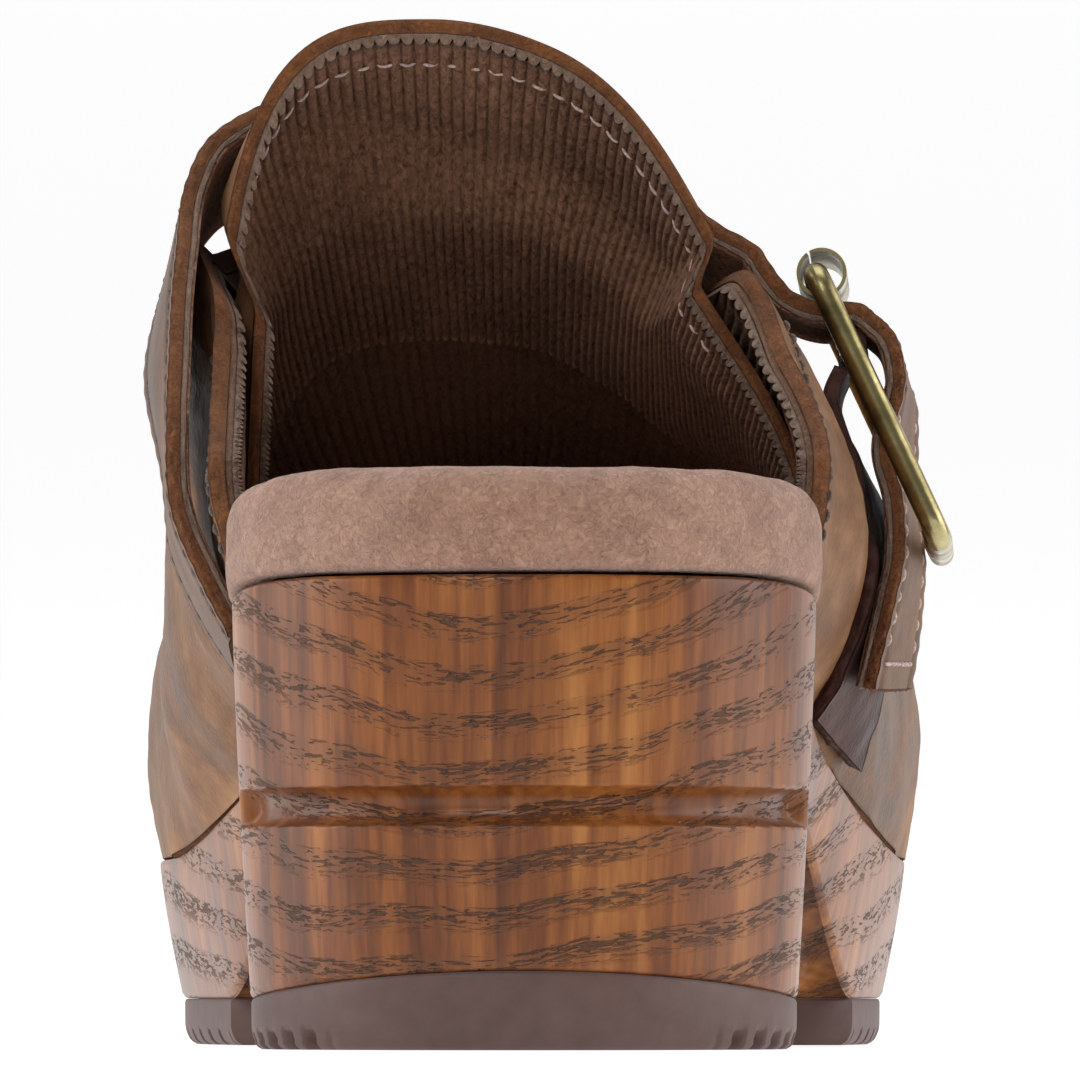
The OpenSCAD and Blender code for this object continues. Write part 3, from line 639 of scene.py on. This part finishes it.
OAK = oak_look()
RUBBER = rubber_look()
LEATHER = leather_look("waxed_leather",
                       (0.060, 0.024, 0.010), (0.175, 0.080, 0.034), (0.36, 0.185, 0.085))
STRAP_LEATHER = leather_look("strap_leather",
                             (0.046, 0.021, 0.012), (0.115, 0.056, 0.029), (0.23, 0.122, 0.064))
RAW_EDGE = fibre_look("raw_leather_edge", (0.085, 0.026, 0.008), (0.31, 0.115, 0.036),
                      size=1300, depth=0.0007, sheen=0.1)
FLESH = fibre_look("leather_back", (0.11, 0.05, 0.026), (0.22, 0.11, 0.06),
                   size=700, sheen=0.1)
SUEDE = fibre_look("footbed_suede", (0.25, 0.122, 0.078), (0.56, 0.32, 0.225),
                   size=1100, depth=0.0006, sheen=0.35)
PADDING = fibre_look("tan_padding", (0.13, 0.065, 0.035), (0.27, 0.15, 0.09),
                     size=900, sheen=0.1)
CORD_LOOK = corduroy_look("brown_corduroy", (0.060, 0.025, 0.014), (0.36, 0.19, 0.115))
FRINGE = fibre_look("lining_fringe", (0.16, 0.085, 0.048), (0.42, 0.27, 0.19),
                    size=1500, depth=0.0008, sheen=0.2)
# Anchor strap leather with painted shade: a copy of the strap leather made much darker, because the anchor
# sits in shade between the strap and the quarter.
ANCHOR_SHADE_LEATHER = leather_look("anchor_leather_painted_shade",
                            (0.020, 0.007, 0.006), (0.045, 0.015, 0.011), (0.09, 0.032, 0.023))
BRASS = brass_look()
STEEL = steel_look()
DARK_THREAD = thread_look("dark_thread", (0.05, 0.035, 0.03), (0.14, 0.105, 0.09))
PALE_THREAD = thread_look("pale_thread", (0.34, 0.24, 0.21), (0.62, 0.48, 0.44))
BOARD = board_look()


# ---- wood and rubber ---------------------------------------------------------------
def groove_cut(p):
    """Depth of the heel's groove at points of the wall: a round channel, blunt at its ends."""
    off = (p[..., 2] - GROOVE_Z) / (GROOVE_H / 2)
    round_cut = GROOVE_D * np.sqrt(np.maximum(0, 1 - off ** 2))
    turn = np.degrees(np.arctan2(-(p[..., 1] - HEEL_Y), np.abs(p[..., 0])))
    return round_cut * ease((turn - 2.5) / 3.5)


def wood_body():
    """Walls: the outline at each height, leaning in towards the ground, with rounded
    arrises, less the groove. Top and bottom: straight lines across the outline."""
    y = outline_y()
    z0, z1 = under(y), seat(y)
    v = np.unique(np.concatenate([np.linspace(0, 1, 40), np.linspace(0.28, 0.64, 64)]))
    radius = 0.7
    a = np.linspace(0, np.pi / 2, 5)
    rows = []
    lean = lerp(HEEL_LEAN, PLATFORM_LEAN, ease((y - 30) / 60))
    for s in a[:-1]:
        rows.append(loop_at(y, lean + radius * (1 - np.sin(s)), z0 + radius * (1 - np.cos(s))))
    for t in v:
        z = lerp(z0 + radius, z1 - radius, t)
        rows.append(loop_at(y, lean * (1 - (z - z0) / (z1 - z0)) ** 1.3, z))
    for s in a[1:]:
        rows.append(loop_at(y, radius * (1 - np.cos(s)), z1 - radius * (1 - np.sin(s))))
    p = np.stack(rows)
    heel = p[..., 1] < HEEL_Y + 0.5
    inward = unit(np.array([0, HEEL_Y, 0]) - p * [1, 1, 0]) * [1, 1, 0]
    p = p + np.where(heel[..., None], inward * groove_cut(p)[..., None], 0)
    shell = Shell()
    shell.grid(p, wrap=True)
    n = len(y)
    for row, flip in ((0, False), (-1, True)):
        outer, inner = p[row, :n], p[row, n:][::-1]
        s = np.linspace(0, 1, 15)[:, None, None]
        shell.grid(outer[None] * (1 - s) + inner[None] * s, flip=flip)
    ob = shell.build("wood_body", [OAK])
    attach(ob, "shoe")
    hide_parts("wood_base")
    return ob


def rubber_part(name, first, last, bevel, tuck, node, notches):
    """Outline between two slices from the tread up to the wood: a bevelled foot, an upright
    wall and square notches cut into the tread's rim."""
    y = outline_y(heel=200, middle=520, toe=90)
    y = y[(y >= first) & (y <= last)]
    lean = HEEL_LEAN if last < 60 else PLATFORM_LEAN
    low, high = spring(y), under(y) - 0.05
    cut = notches(y)
    rows = []
    for share, pull in ((0.0, bevel + 1.4), (0.0, bevel + 0.7), (0.04, bevel + 0.25), (0.10, bevel * 0.8),
                        (0.18, 0.4), (0.26, 0.2), (0.34, 0.08), (0.42, 0.02), (0.7, 0.0), (0.93, 0.0),
                        (0.985, 0.12), (1.0, 0.4)):
        gone = cut * (1 - ease((share - 0.16) / 0.2))
        rows.append(loop_at(y, lean + tuck + pull + gone, lerp(low, high, share)))
    p = np.stack(rows)
    n = len(y)
    front = np.linspace(0, 1, 12)[1:-1][None, :, None]
    bridge = p[:, n - 1:n] * (1 - front) + p[:, n:n + 1] * front
    back = p[:, -1:] * (1 - front) + p[:, :1] * front
    parts = [p[:, :n], bridge, p[:, n:]]
    if first > 0:
        parts.append(back)
    shell = Shell()
    shell.grid(np.concatenate(parts, 1), wrap=True)
    for row, flip in ((0, False), (-1, True)):
        outer, inner = p[row, :n], p[row, n:][::-1]
        s = np.linspace(0, 1, 12)[:, None, None]
        shell.grid(outer[None] * (1 - s) + inner[None] * s, flip=flip)
    ob = shell.build(name, [RUBBER])
    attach(ob, "shoe")
    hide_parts(node)
    return ob


def heel_notches(y):
    """Small rounded notches every 8 degrees at both sides of the heel, fading out towards
    the middle of the back."""
    turn = 90 - np.degrees(np.arccos(np.clip((HEEL_Y - y) / HEEL_R, -1, 1)))
    near = np.abs((turn - 6 + 4) % 8 - 4) * np.pi / 180 * HEEL_R
    side = np.abs((y + 4 + 2.4) % 4.8 - 2.4)
    gap = np.where(y < HEEL_Y, near, side)
    return NOTCH_DEPTH * ease(1.6 - gap / NOTCH_W * 1.7) * (1 - ease((turn - 34) / 14))


def fore_notches(y):
    return NOTCH_DEPTH * ((np.abs((y - TREAD_Y) % 7 - 3.5) < NOTCH_W / 2) & (y > TREAD_Y + 4))


# ---- footbed ---------------------------------------------------------------------------
def footbed():
    """Padded bed: a rounded profile carried round the outline, closed by a dished top."""
    y = outline_y(heel=120, middle=160, toe=60)
    inside = lerp(-0.7, UPPER_T + 0.5 + STRAP_TUCK * (1 - ease((y - 62) / 12)),
                  ease((y - WING_Y + 6) / 4))
    lift = ease((y - WING_Y + 6) / 4)
    base = LEATHER_T + SEAT_GAP + 0.05
    rise = lerp(FOOTBED_TOE_H, FOOTBED_H, ease((125 - y) / 130))
    profile = smooth_curve([(2.6, 0.02, 0), (0.9, 0.05, 0), (0.15, 0.14, 0), (-0.05, 0.32, 0),
                            (0.0, 0.5, 0), (0.1, 0.67, 0), (0.65, 0.83, 0), (2.0, 0.945, 0),
                            (4.2, 0.99, 0), (7.5, 1.0, 0)], 6)
    rows = []
    for pull, share, _ in profile:
        z = seat(y) + 0.08 + rise * share + base * lift * max(0, 1 - share * 1.6)
        rows.append(loop_at(y, inside + pull, z))
    p = np.stack(rows)
    n = len(y)
    outer, inner = p[-1, :n], p[-1, n:][::-1]
    s = np.linspace(0, 1, 70)[:, None, None]
    top = outer[None] * (1 - s) + inner[None] * s
    span = np.clip(np.linalg.norm(outer - inner, axis=-1) / 50, 0, 1)
    top[..., 2] -= (1.6 * span[None] * (np.sin(np.pi * s[..., 0]) ** 0.8))
    for a in (p, top):
        a += unit(a - np.array([0, 60, 20])) * (waves(a, 5, 11)[..., None] * 0.16
                                                + waves(a, 6, 2.2)[..., None] * 0.045)
    top[0], top[-1] = p[-1, :n], p[-1, n:][::-1]
    shell = Shell()
    shell.grid(p, wrap=True)
    shell.grid(top, flip=True)
    s = np.linspace(0, 1, 6)[:, None, None]
    outer, inner = p[0, :n], p[0, n:][::-1]
    shell.grid(outer[None] * (1 - s) + inner[None] * s)
    ob = shell.build("padded_footbed", [SUEDE])
    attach(ob, "shoe")
    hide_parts("footbed_cover", "footbed_foam")
    return ob


# ---- upper ------------------------------------------------------------------------------
def rear_line(k, back=0.0):
    """A line on the form that follows the vamp's rear edge, back millimetres ahead of it."""
    y = rear_y(k)
    e = 0.004
    dk = (form(y, k + e, 0) - form(y, k - e, 0)) / (2 * e)
    dy = (form(y + 0.2, k, 0) - form(y - 0.2, k, 0)) / 0.4
    slope = np.gradient(y, k)
    edge = unit(dk + dy * slope[:, None])
    out = unit(np.cross(dk, dy))
    ahead = unit(np.cross(out, edge))
    ahead = ahead * np.sign(ahead[:, 1:2] + 1e-9)
    a = np.sum(dk * dk, -1)
    b = np.sum(dk * dy, -1)
    c = np.sum(dy * dy, -1)
    p, q = np.sum(ahead * dk, -1), np.sum(ahead * dy, -1)
    det = a * c - b * b
    return k + back * (p * c - q * b) / det, y + back * (a * q - b * p) / det


def near_line(points, line):
    """Shortest distance from each point of a patch to a polyline's points."""
    flat = points.reshape(-1, 3)
    out = np.full(len(flat), 1e9)
    for i in range(0, len(line), 64):
        d = np.linalg.norm(flat[:, None] - line[None, i:i + 64], axis=-1).min(1)
        out = np.minimum(out, d)
    return out.reshape(points.shape[:-1])


def vamp_grid(k, ahead, t):
    """Patch of the vamp: k round it, ahead (0 at the rear edge to 1 at the toe) along it."""
    y = lerp(rear_y(k)[None], FORM_TOE - t, ahead[:, None])
    return form(y, np.broadcast_to(k, y.shape), t)


STITCH_IN = 4.3
K_SEAM = np.concatenate([np.linspace(-0.97, 0.3, 200), np.linspace(0.3, 1.75, 500)[1:],
                         np.linspace(1.75, 2.97, 200)[1:]])
SEAM_K, SEAM_Y = rear_line(K_SEAM, STITCH_IN)
SEAM = form(SEAM_Y, SEAM_K, 0)
SEAM_OUT = -form_normal(SEAM_Y, SEAM_K, 0)


def vamp():
    """Leather: outer skin and flesh side of the form, with a soft crease along the seam;
    padding and ribbed lining follow inside it, each a little short of the one outside."""
    k = np.concatenate([np.linspace(-1, 0, 45), np.linspace(0, 2, 250)[1:], np.linspace(2, 3, 45)[1:]])
    near = np.linspace(0, 0.12, 34)
    far = 1 - (1 - np.linspace(0, 1, 90)[1:]) ** 1.7
    ahead = np.concatenate([near, 0.12 + 0.8796 * far])
    top = vamp_grid(k, ahead, 0.0)
    y = lerp(rear_y(k)[None], FORM_TOE, ahead[:, None]) - 0.4
    out = form_normal(y, np.broadcast_to(k, top.shape[:2]), 0)
    out = out * np.sign(np.sum(out * (top - np.array([0, 0, 40]) - top * [0, 1, 0]), -1, keepdims=True))
    crease = -0.45 * bell(near_line(top, SEAM[::2]), 1.3)
    soft = waves(top, 21, 46) * 0.5 * ease((ahead[:, None] - 0.02) / 0.15) + waves(top, 22, 7) * 0.05
    fade = 1 - ease((ahead[:, None] - 0.8) / 0.19)
    top = top + out * ((crease + soft) * fade)[..., None]
    low = vamp_grid(k, ahead, LEATHER_T)
    low[..., 2] = np.maximum(low[..., 2], seat(low[..., 1]) + 0.3)
    shell = Shell()
    thick_sheet(shell, top, low, slots=(0, 2, 1), bulge=0.35, rough=0.16, seed=3)
    ob = shell.build("vamp_outer_leather", [LEATHER, RAW_EDGE, FLESH])
    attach(ob, "shoe")
    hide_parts("vamp_leather", "toe_puff")

    k2 = np.linspace(-0.99, 2.99, 320)
    a2 = 1 - (1 - np.linspace(0, 1, 60)) ** 1.7
    shell = Shell()
    outer = vamp_grid(k2, a2 * 0.97 + 0.0035, LEATHER_T + 0.04)
    inner = vamp_grid(k2, a2 * 0.97 + 0.0035, LEATHER_T + PADDING_T)
    thick_sheet(shell, outer, inner, slots=(0, 0, 0), bulge=0.2, rough=0.12, seed=4)
    pad = shell.build("vamp_soft_padding", [PADDING])
    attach(pad, "shoe")
    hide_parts("vamp_padding")

    k3 = np.linspace(-0.985, 2.985, 991)
    a3 = 1 - (1 - np.linspace(0, 1, 44)) ** 1.6
    a3 = a3 * 0.965 + 0.002
    outer = vamp_grid(k3, a3, LEATHER_T + PADDING_T + 0.05)
    t = UPPER_T - 0.65 * (1 - ridge(np.linspace(0, 165, len(k3))))[None]
    y = lerp(rear_y(k3)[None], FORM_TOE - UPPER_T, a3[:, None])
    inner = form(y, np.broadcast_to(k3, y.shape), t)
    shell = Shell()
    thick_sheet(shell, outer, inner, slots=(0, 0, 1), bulge=0.3, rough=0.3, steps=4, seed=5)
    lin = shell.build("vamp_corduroy_lining", [CORD_LOOK, FRINGE])
    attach(lin, "shoe")
    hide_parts("vamp_lining")


def ridge(phase):
    """Height across a wale, 0 in the groove to 1 on top: the root of a sine's size."""
    return np.sqrt(np.abs(np.sin(np.pi * phase)) + 1e-9)


TONGUE_HIGH, TONGUE_LOW = 1.2, UPPER_T + 1.7
TONGUE_Y, TONGUE_ROOT = 50, 96.0


def tongue_rear(k):
    """The tongue's rear edge: straight across the instep, rounded off at both sides."""
    return TONGUE_Y + 1.5 * ease((np.abs(k - 1.03) - 0.5) / 0.5)


def tongue():
    """Inner tongue: a leather sheet on the form with a corduroy face towards the foot."""
    k = np.linspace(-0.4, 2.35, 997)
    s = np.linspace(0, 1, 44)
    y = lerp(tongue_rear(k)[None], TONGUE_ROOT, s[:, None])
    kk = np.broadcast_to(k, y.shape)
    deep = lerp(TONGUE_HIGH, TONGUE_LOW, ease((y - rear_y(kk) + 16) / 11))
    wave = waves(form(y, kk, 0), 31, 30, 2) * 0.35 * ease(s * 4)[:, None]
    shell = Shell()
    few = (slice(None), slice(None, None, 4))
    top = form(y[few], kk[few], (deep + wave)[few])
    low = form(y[few], kk[few], (deep + TONGUE_T + wave)[few])
    thick_sheet(shell, top, low, slots=(0, 2, 1), bulge=0.3, rough=0.14, seed=7)
    ob = shell.build("tongue_outer_leather", [LEATHER, RAW_EDGE, FLESH])
    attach(ob, "shoe")
    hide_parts("tongue_leather")
    phase = np.linspace(0, 166, len(k))
    wale = ridge(phase)[None]
    outer = form(y, kk, deep + TONGUE_T + 0.05 + wave)
    inner = form(y, kk, deep + TONGUE_T + LINING_T - 0.7 * (1 - wale) + wave)
    shell = Shell()
    thick_sheet(shell, outer, inner, slots=(0, 0, 1), bulge=0.2, rough=0.25, steps=4, seed=8)
    lin = shell.build("tongue_corduroy_lining", [CORD_LOOK, FRINGE])
    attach(lin, "shoe")
    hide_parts("tongue_lining")
    kt = np.linspace(0.40, 1.66, 300)
    yt = tongue_rear(kt) + 3.4
    depth = lerp(TONGUE_HIGH, TONGUE_LOW, ease((yt - rear_y(kt) + 16) / 11))
    depth = depth + TONGUE_T + LINING_T - 0.1
    path = form(yt, kt, depth)
    out = path - form(yt, kt, depth - 1)
    return path, unit(out)


# ---- strap and buckle --------------------------------------------------------------------
def turning():
    """The buckle's own turn: lean about Y, then X, then Z."""
    a, b, c = (-np.radians(v) for v in BUCKLE_TURN)
    ry = np.array([[np.cos(a), 0, np.sin(a)], [0, 1, 0], [-np.sin(a), 0, np.cos(a)]])
    rx = np.array([[1, 0, 0], [0, np.cos(b), -np.sin(b)], [0, np.sin(b), np.cos(b)]])
    rz = np.array([[np.cos(c), -np.sin(c), 0], [np.sin(c), np.cos(c), 0], [0, 0, 1]])
    return rz @ rx @ ry


TURN = turning()
BUCKLE_AT = form(55, 1.6, -7.9)
STRAP_GAP = 0.7
FRAME_W = STRAP_W + 2 * (STRAP_GAP + WIRE_R)
STRAP_W0 = WIRE_R + STRAP_GAP
MID_BAR_R, LOOP_T = 1.25, 0.9
ROLLER_SHIFT = ROLLER_R - ROLLER_WALL - WIRE_R - 0.35
STRAP_T = STRAP_LEATHER_T + STRAP_LINING_T
GAP_R = ROLLER_R - ROLLER_SHIFT * 0.4
HUMP = MID_BAR_R + LOOP_T + STRAP_T + 1
UNDER_BAR = -WIRE_R - 0.4
# Round the form: k, y of the rear and front edge, stand-off of each.
STRAP_OVER = [
    (-0.93, 20, 43, 3.6, 4.0), (-0.6, 22, 45, 3.7, 4.0), (-0.15, 26, 49, 5.0, 4.4),
    (0.15, 31, 53, 5.4, 4.1), (0.36, 37.5, 59, 5.4, 4.5), (0.52, 46, 67, 5, 5.2),
    (0.62, 54, 75, 3.6, 5), (0.71, 60.5, 82, 2.5, 4.6), (0.84, 66, 88, 2.3, 4.4), (1.0, 69, 91, 2.3, 4.4),
    (1.17, 68, 90, 2.4, 4.4), (1.3, 65, 87.5, 2.5, 4.3), (1.42, 61.5, 84.5, 3.2, 4.2)]
# Through the buckle: distance from the roller, height of the rear and front edge.
STRAP_ROUND = [
    (-6.4, -5.2, -7.6), (-3, -4.6, -5.6), (0.6, -GAP_R - 0.9, -GAP_R - 0.9),
    (3.3, -0.9, -0.9), (5, 3.3, 3.3), (7.8, HUMP - 0.9, HUMP - 0.9), (BAR_DROP + 1.6, HUMP, HUMP),
    (15.1, HUMP - 0.8, HUMP - 0.5), (18, 3.6, 5.2), (23.3, -0.5, 2.9), (29.4, -1.8, 0),
    (BUCKLE_LEN, -4.4, UNDER_BAR), (40.2, -7.8, -4.4), (44.3, -10.9, -7.0), (49, -14.4, -10.2)]
ANCHOR_Y, ANCHOR_OFF = 51.4, -1.25
ANCHOR_PATH = [(2.2, -2, -2.1), (5, -4.7, -4.5), (8.5, -5.3, -5.1), (14, -5.9, -4.9), (19.5, -7.5, -5.2)]


def at_buckle(u, h, w):
    return BUCKLE_AT + np.array([h, w, -u]) @ TURN.T


def strap_edge(side):
    over = [form(s[1 + side], s[0], -s[3 + side]) for s in STRAP_OVER]
    return over + [at_buckle(s[0], s[1 + side], STRAP_W0 + side * STRAP_W) for s in STRAP_ROUND]


def band(rear, front, columns):
    """Flat band between two edge curves, with its outward direction at each cross-line."""
    s = np.linspace(0, 1, columns)[None, :, None]
    p = rear[:, None] * (1 - s) + front[:, None] * s
    along = np.gradient(rear + front, axis=0)
    out = unit(np.cross(along, front - rear))
    return p, out[:, None], s[..., 0]


def strap():
    """Two-layer strap carried from the inner side over the instep and through the buckle:
    slightly crowned, its edges scalloped by the stitches, the layers joined by thread."""
    rear, front = smooth_curve(strap_edge(0), 24), smooth_curve(strap_edge(1), 24)
    p, out, s = band(rear, front, 61)
    run = np.concatenate([[0], np.cumsum(np.linalg.norm(np.diff(rear + front, axis=0), axis=-1) / 2)])
    edge_d = np.minimum(s, 1 - s) * STRAP_W
    dip = -0.35 * bell(edge_d - 3.0, 0.9)
    bite = 0.05 * np.cos(2 * np.pi * run / 2.7)[:, None] * bell(edge_d, 2.0)
    sag = waves(p, 41, 26, 2) * 0.12
    crown = 0.12 * np.sin(np.pi * s)
    slack = 0.22 * ease((run - run[-1] + 60) / 10)[:, None]
    face = p + out * (dip + bite + sag + crown - slack)[..., None]
    back = p - out * (STRAP_LEATHER_T - sag - bite * 0.4)[..., None]
    shell = Shell()
    thick_sheet(shell, face, back, slots=(0, 2, 1), bulge=0.3, rough=0.14, seed=11)
    ob = shell.build("strap_outer_leather", [STRAP_LEATHER, RAW_EDGE, FLESH])
    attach(ob, "shoe")
    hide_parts("instep_strap_leather")
    cols = 133
    p2, out2, _ = band(smooth_curve(strap_edge(0), 12), smooth_curve(strap_edge(1), 12), cols)
    wale = ridge(np.linspace(0, 22, cols))[None]
    pad = (waves(p2, 41, 26, 2) * 0.12)
    lin_top = p2 - out2 * (STRAP_LEATHER_T + 0.05 - pad)[..., None]
    lin_low = p2 - out2 * (STRAP_T - 0.35 * (1 - wale) - pad)[..., None]
    shell = Shell()
    thick_sheet(shell, lin_top, lin_low, slots=(0, 0, 1), bulge=0.2, rough=0.25, steps=4, seed=12)
    lin = shell.build("strap_corduroy_lining", [CORD_LOOK, FRINGE])
    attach(lin, "shoe")
    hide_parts("instep_strap_lining")
    tail = run > run[-1] - 34
    inset = int(round(3.0 / STRAP_W * 60))
    rows_dark, rows_pale = [], []
    ways = np.broadcast_to(out, face.shape)
    for c in (inset, 60 - inset):
        rows_dark.append((face[~tail, c], ways[~tail, c]))
        end = tail & (run < run[-1] - 2.5)
        rows_pale.append((face[end, c], ways[end, c]))
    last = np.nonzero(run < run[-1] - 3.0)[0][-1]
    rows_pale.append((face[last, inset:60 - inset], ways[last, inset:60 - inset]))
    return rows_dark, rows_pale


def anchor():
    """Folded strap: a loop round the middle bar, both layers running down to the wood."""
    width = STRAP_W - 3
    w0 = (FRAME_W - width) / 2

    def edge(side):
        w = w0 + side * width
        near = [at_buckle(BAR_DROP + u, (a, b)[side], w) for u, a, b in ANCHOR_PATH]
        return near + [form(ANCHOR_Y + w, k, ANCHOR_OFF) for k in (2, 2.22, 2.45, 2.7, 2.93)]

    rear, front = smooth_curve(edge(0), 16), smooth_curve(edge(1), 16)
    p, out, s = band(rear, front, 41)
    ripple = waves(p, 51, 9, 2) * 0.12
    wavy = (waves(rear, 52, 6, 2) * 0.25)[:, None] * (1 - s * 2)
    p = p + unit(front - rear)[:, None] * wavy[..., None]
    half = LOOP_T
    shell = Shell()
    thick_sheet(shell, p + out * (half + ripple)[..., None], p - out * (half - ripple)[..., None],
                slots=(0, 0, 0), bulge=0.3, rough=0.12, seed=13)
    a = np.linspace(np.radians(-150), np.radians(118), 60)
    inner_r, outer_r = MID_BAR_R + 0.12, MID_BAR_R + 0.1 + LOOP_T

    def ring(r):
        w = np.linspace(w0, w0 + width, 30)
        h = r * np.cos(a)
        u = BAR_DROP - r * np.sin(a)
        local = np.stack(np.broadcast_arrays(h[:, None], w[None], -u[:, None]), -1)
        return BUCKLE_AT + local @ TURN.T

    thick_sheet(shell, ring(outer_r)[:, ::-1], ring(inner_r)[:, ::-1], slots=(0, 0, 0), bulge=0.15, seed=14)
    # Painted shade: the anchor loop takes the darkened anchor leather.
    ob = shell.build("anchor_loop_leather", [ANCHOR_SHADE_LEATHER])
    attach(ob, "shoe")
    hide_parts("anchor_strap")


# ---- build ------------------------------------------------------------------------------
wood_body()
rubber_part("heel_rubber", HEEL_Y - HEEL_R, BREAST_Y - 1.5, 0.55, 0.1, "heel_lift", heel_notches)
rubber_part("forefoot_rubber", TREAD_Y + 2, TOE_REACH, 0.8, 0.2, "forefoot_sole", fore_notches)
footbed()
vamp()
tongue_seam = tongue()
dark_rows, pale_rows = strap()
anchor()
wing_in, wing_out = K_SEAM < CORNER_IN - 0.02, K_SEAM > 2 - CORNER_OUT + 0.02
thread("vamp_stitches", [(SEAM[wing], SEAM_OUT[wing]) for wing in (wing_in, wing_out)], DARK_THREAD)
thread("tongue_stitches", [tongue_seam], PALE_THREAD, radius=0.22)
thread("strap_stitches", dark_rows, DARK_THREAD)
thread("strap_tail_stitches", pale_rows, PALE_THREAD)

for node, look in (("buckle_frame", BRASS), ("buckle_roller", BRASS), ("heel_lift_nails", STEEL),
                   ("forefoot_sole_nails", STEEL), ("lasting_tacks", STEEL), ("insole_board", BOARD)):
    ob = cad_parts[node]
    ob.data.materials.clear()
    ob.data.materials.append(look)


# ---- room, light and camera -------------------------------------------------------------
def plain(name, colour, rough):
    m = Look(name, rough=rough)
    n = m.noise(m.scaled((6, 6, 6)), detail=2)
    m.color(m.ramp(n, [(0.0, colour), (1.0, tuple(c * 1.02 for c in colour))]))
    return m.mat


def studio():
    """Pale floor that turns up into a wall far behind, three soft panels and a white sky."""
    u = np.linspace(-14000, 14000, 40)
    run = np.concatenate([np.linspace(-14000, 10500, 30), 10500 + 1500 * np.sin(np.linspace(0.1, 1.57, 14))])
    up = np.concatenate([np.zeros(30), 1500 * (1 - np.cos(np.linspace(0.1, 1.57, 14)))])
    run, up = np.append(run, 12000), np.append(up, 12000)
    p = np.stack(np.broadcast_arrays(u[None], run[:, None], up[:, None] - 0.05), -1)
    shell = Shell()
    shell.grid(p)
    pale = plain("pale_floor", (0.42, 0.42, 0.42), 0.4)
    glow = pale.node_tree.nodes["Principled BSDF"]
    glow.inputs["Emission Color"].default_value = (1, 1, 1, 1)
    glow.inputs["Emission Strength"].default_value = 0.78
    floor = shell.build("floor", [pale])
    world = bpy.data.worlds.new("white_room")
    world.use_nodes = True
    world.node_tree.nodes["Background"].inputs[0].default_value = (1, 1, 1, 1)
    world.node_tree.nodes["Background"].inputs[1].default_value = 0.22
    bpy.context.scene.world = world
    for name, at, size, power, aim in (
            ("key", (-0.45, -1.25, 1.0), 0.6, 9.0, (0, 0.0, 0.06)),
            ("left_panel", (-0.9, 0.1, 0.4), 0.8, 5.0, (0, 0.05, 0.05)),
            ("right_panel", (0.9, 0.05, 0.4), 0.8, 5.5, (0, 0.05, 0.05)),
            ("top_panel", (0.0, 0.3, 1.2), 0.9, 6.0, (0, 0.08, 0.05))):
        light = bpy.data.lights.new(name, "AREA")
        light.shape, light.size, light.energy = "SQUARE", size, power
        ob = bpy.data.objects.new(name, light)
        ob.location = at
        ob.rotation_euler = (Vector(aim) - Vector(at)).to_track_quat("-Z", "Y").to_euler()
        bpy.context.scene.collection.objects.link(ob)


def set_camera():
    """Low behind the heel with a very long lens, looking slightly up."""
    cam = bpy.data.cameras.new("camera")
    cam.lens, cam.sensor_width = 440, 36
    ob = bpy.data.objects.new("camera", cam)
    ob.location = (0, -1.54, 0.007)
    aim = Vector((0.0018, -0.04, 0.058))
    ob.rotation_euler = (aim - ob.location).to_track_quat("-Z", "Y").to_euler()
    bpy.context.scene.collection.objects.link(ob)
    bpy.context.scene.camera = ob


studio()
set_camera()
bpy.context.scene.view_settings.view_transform = "Standard"
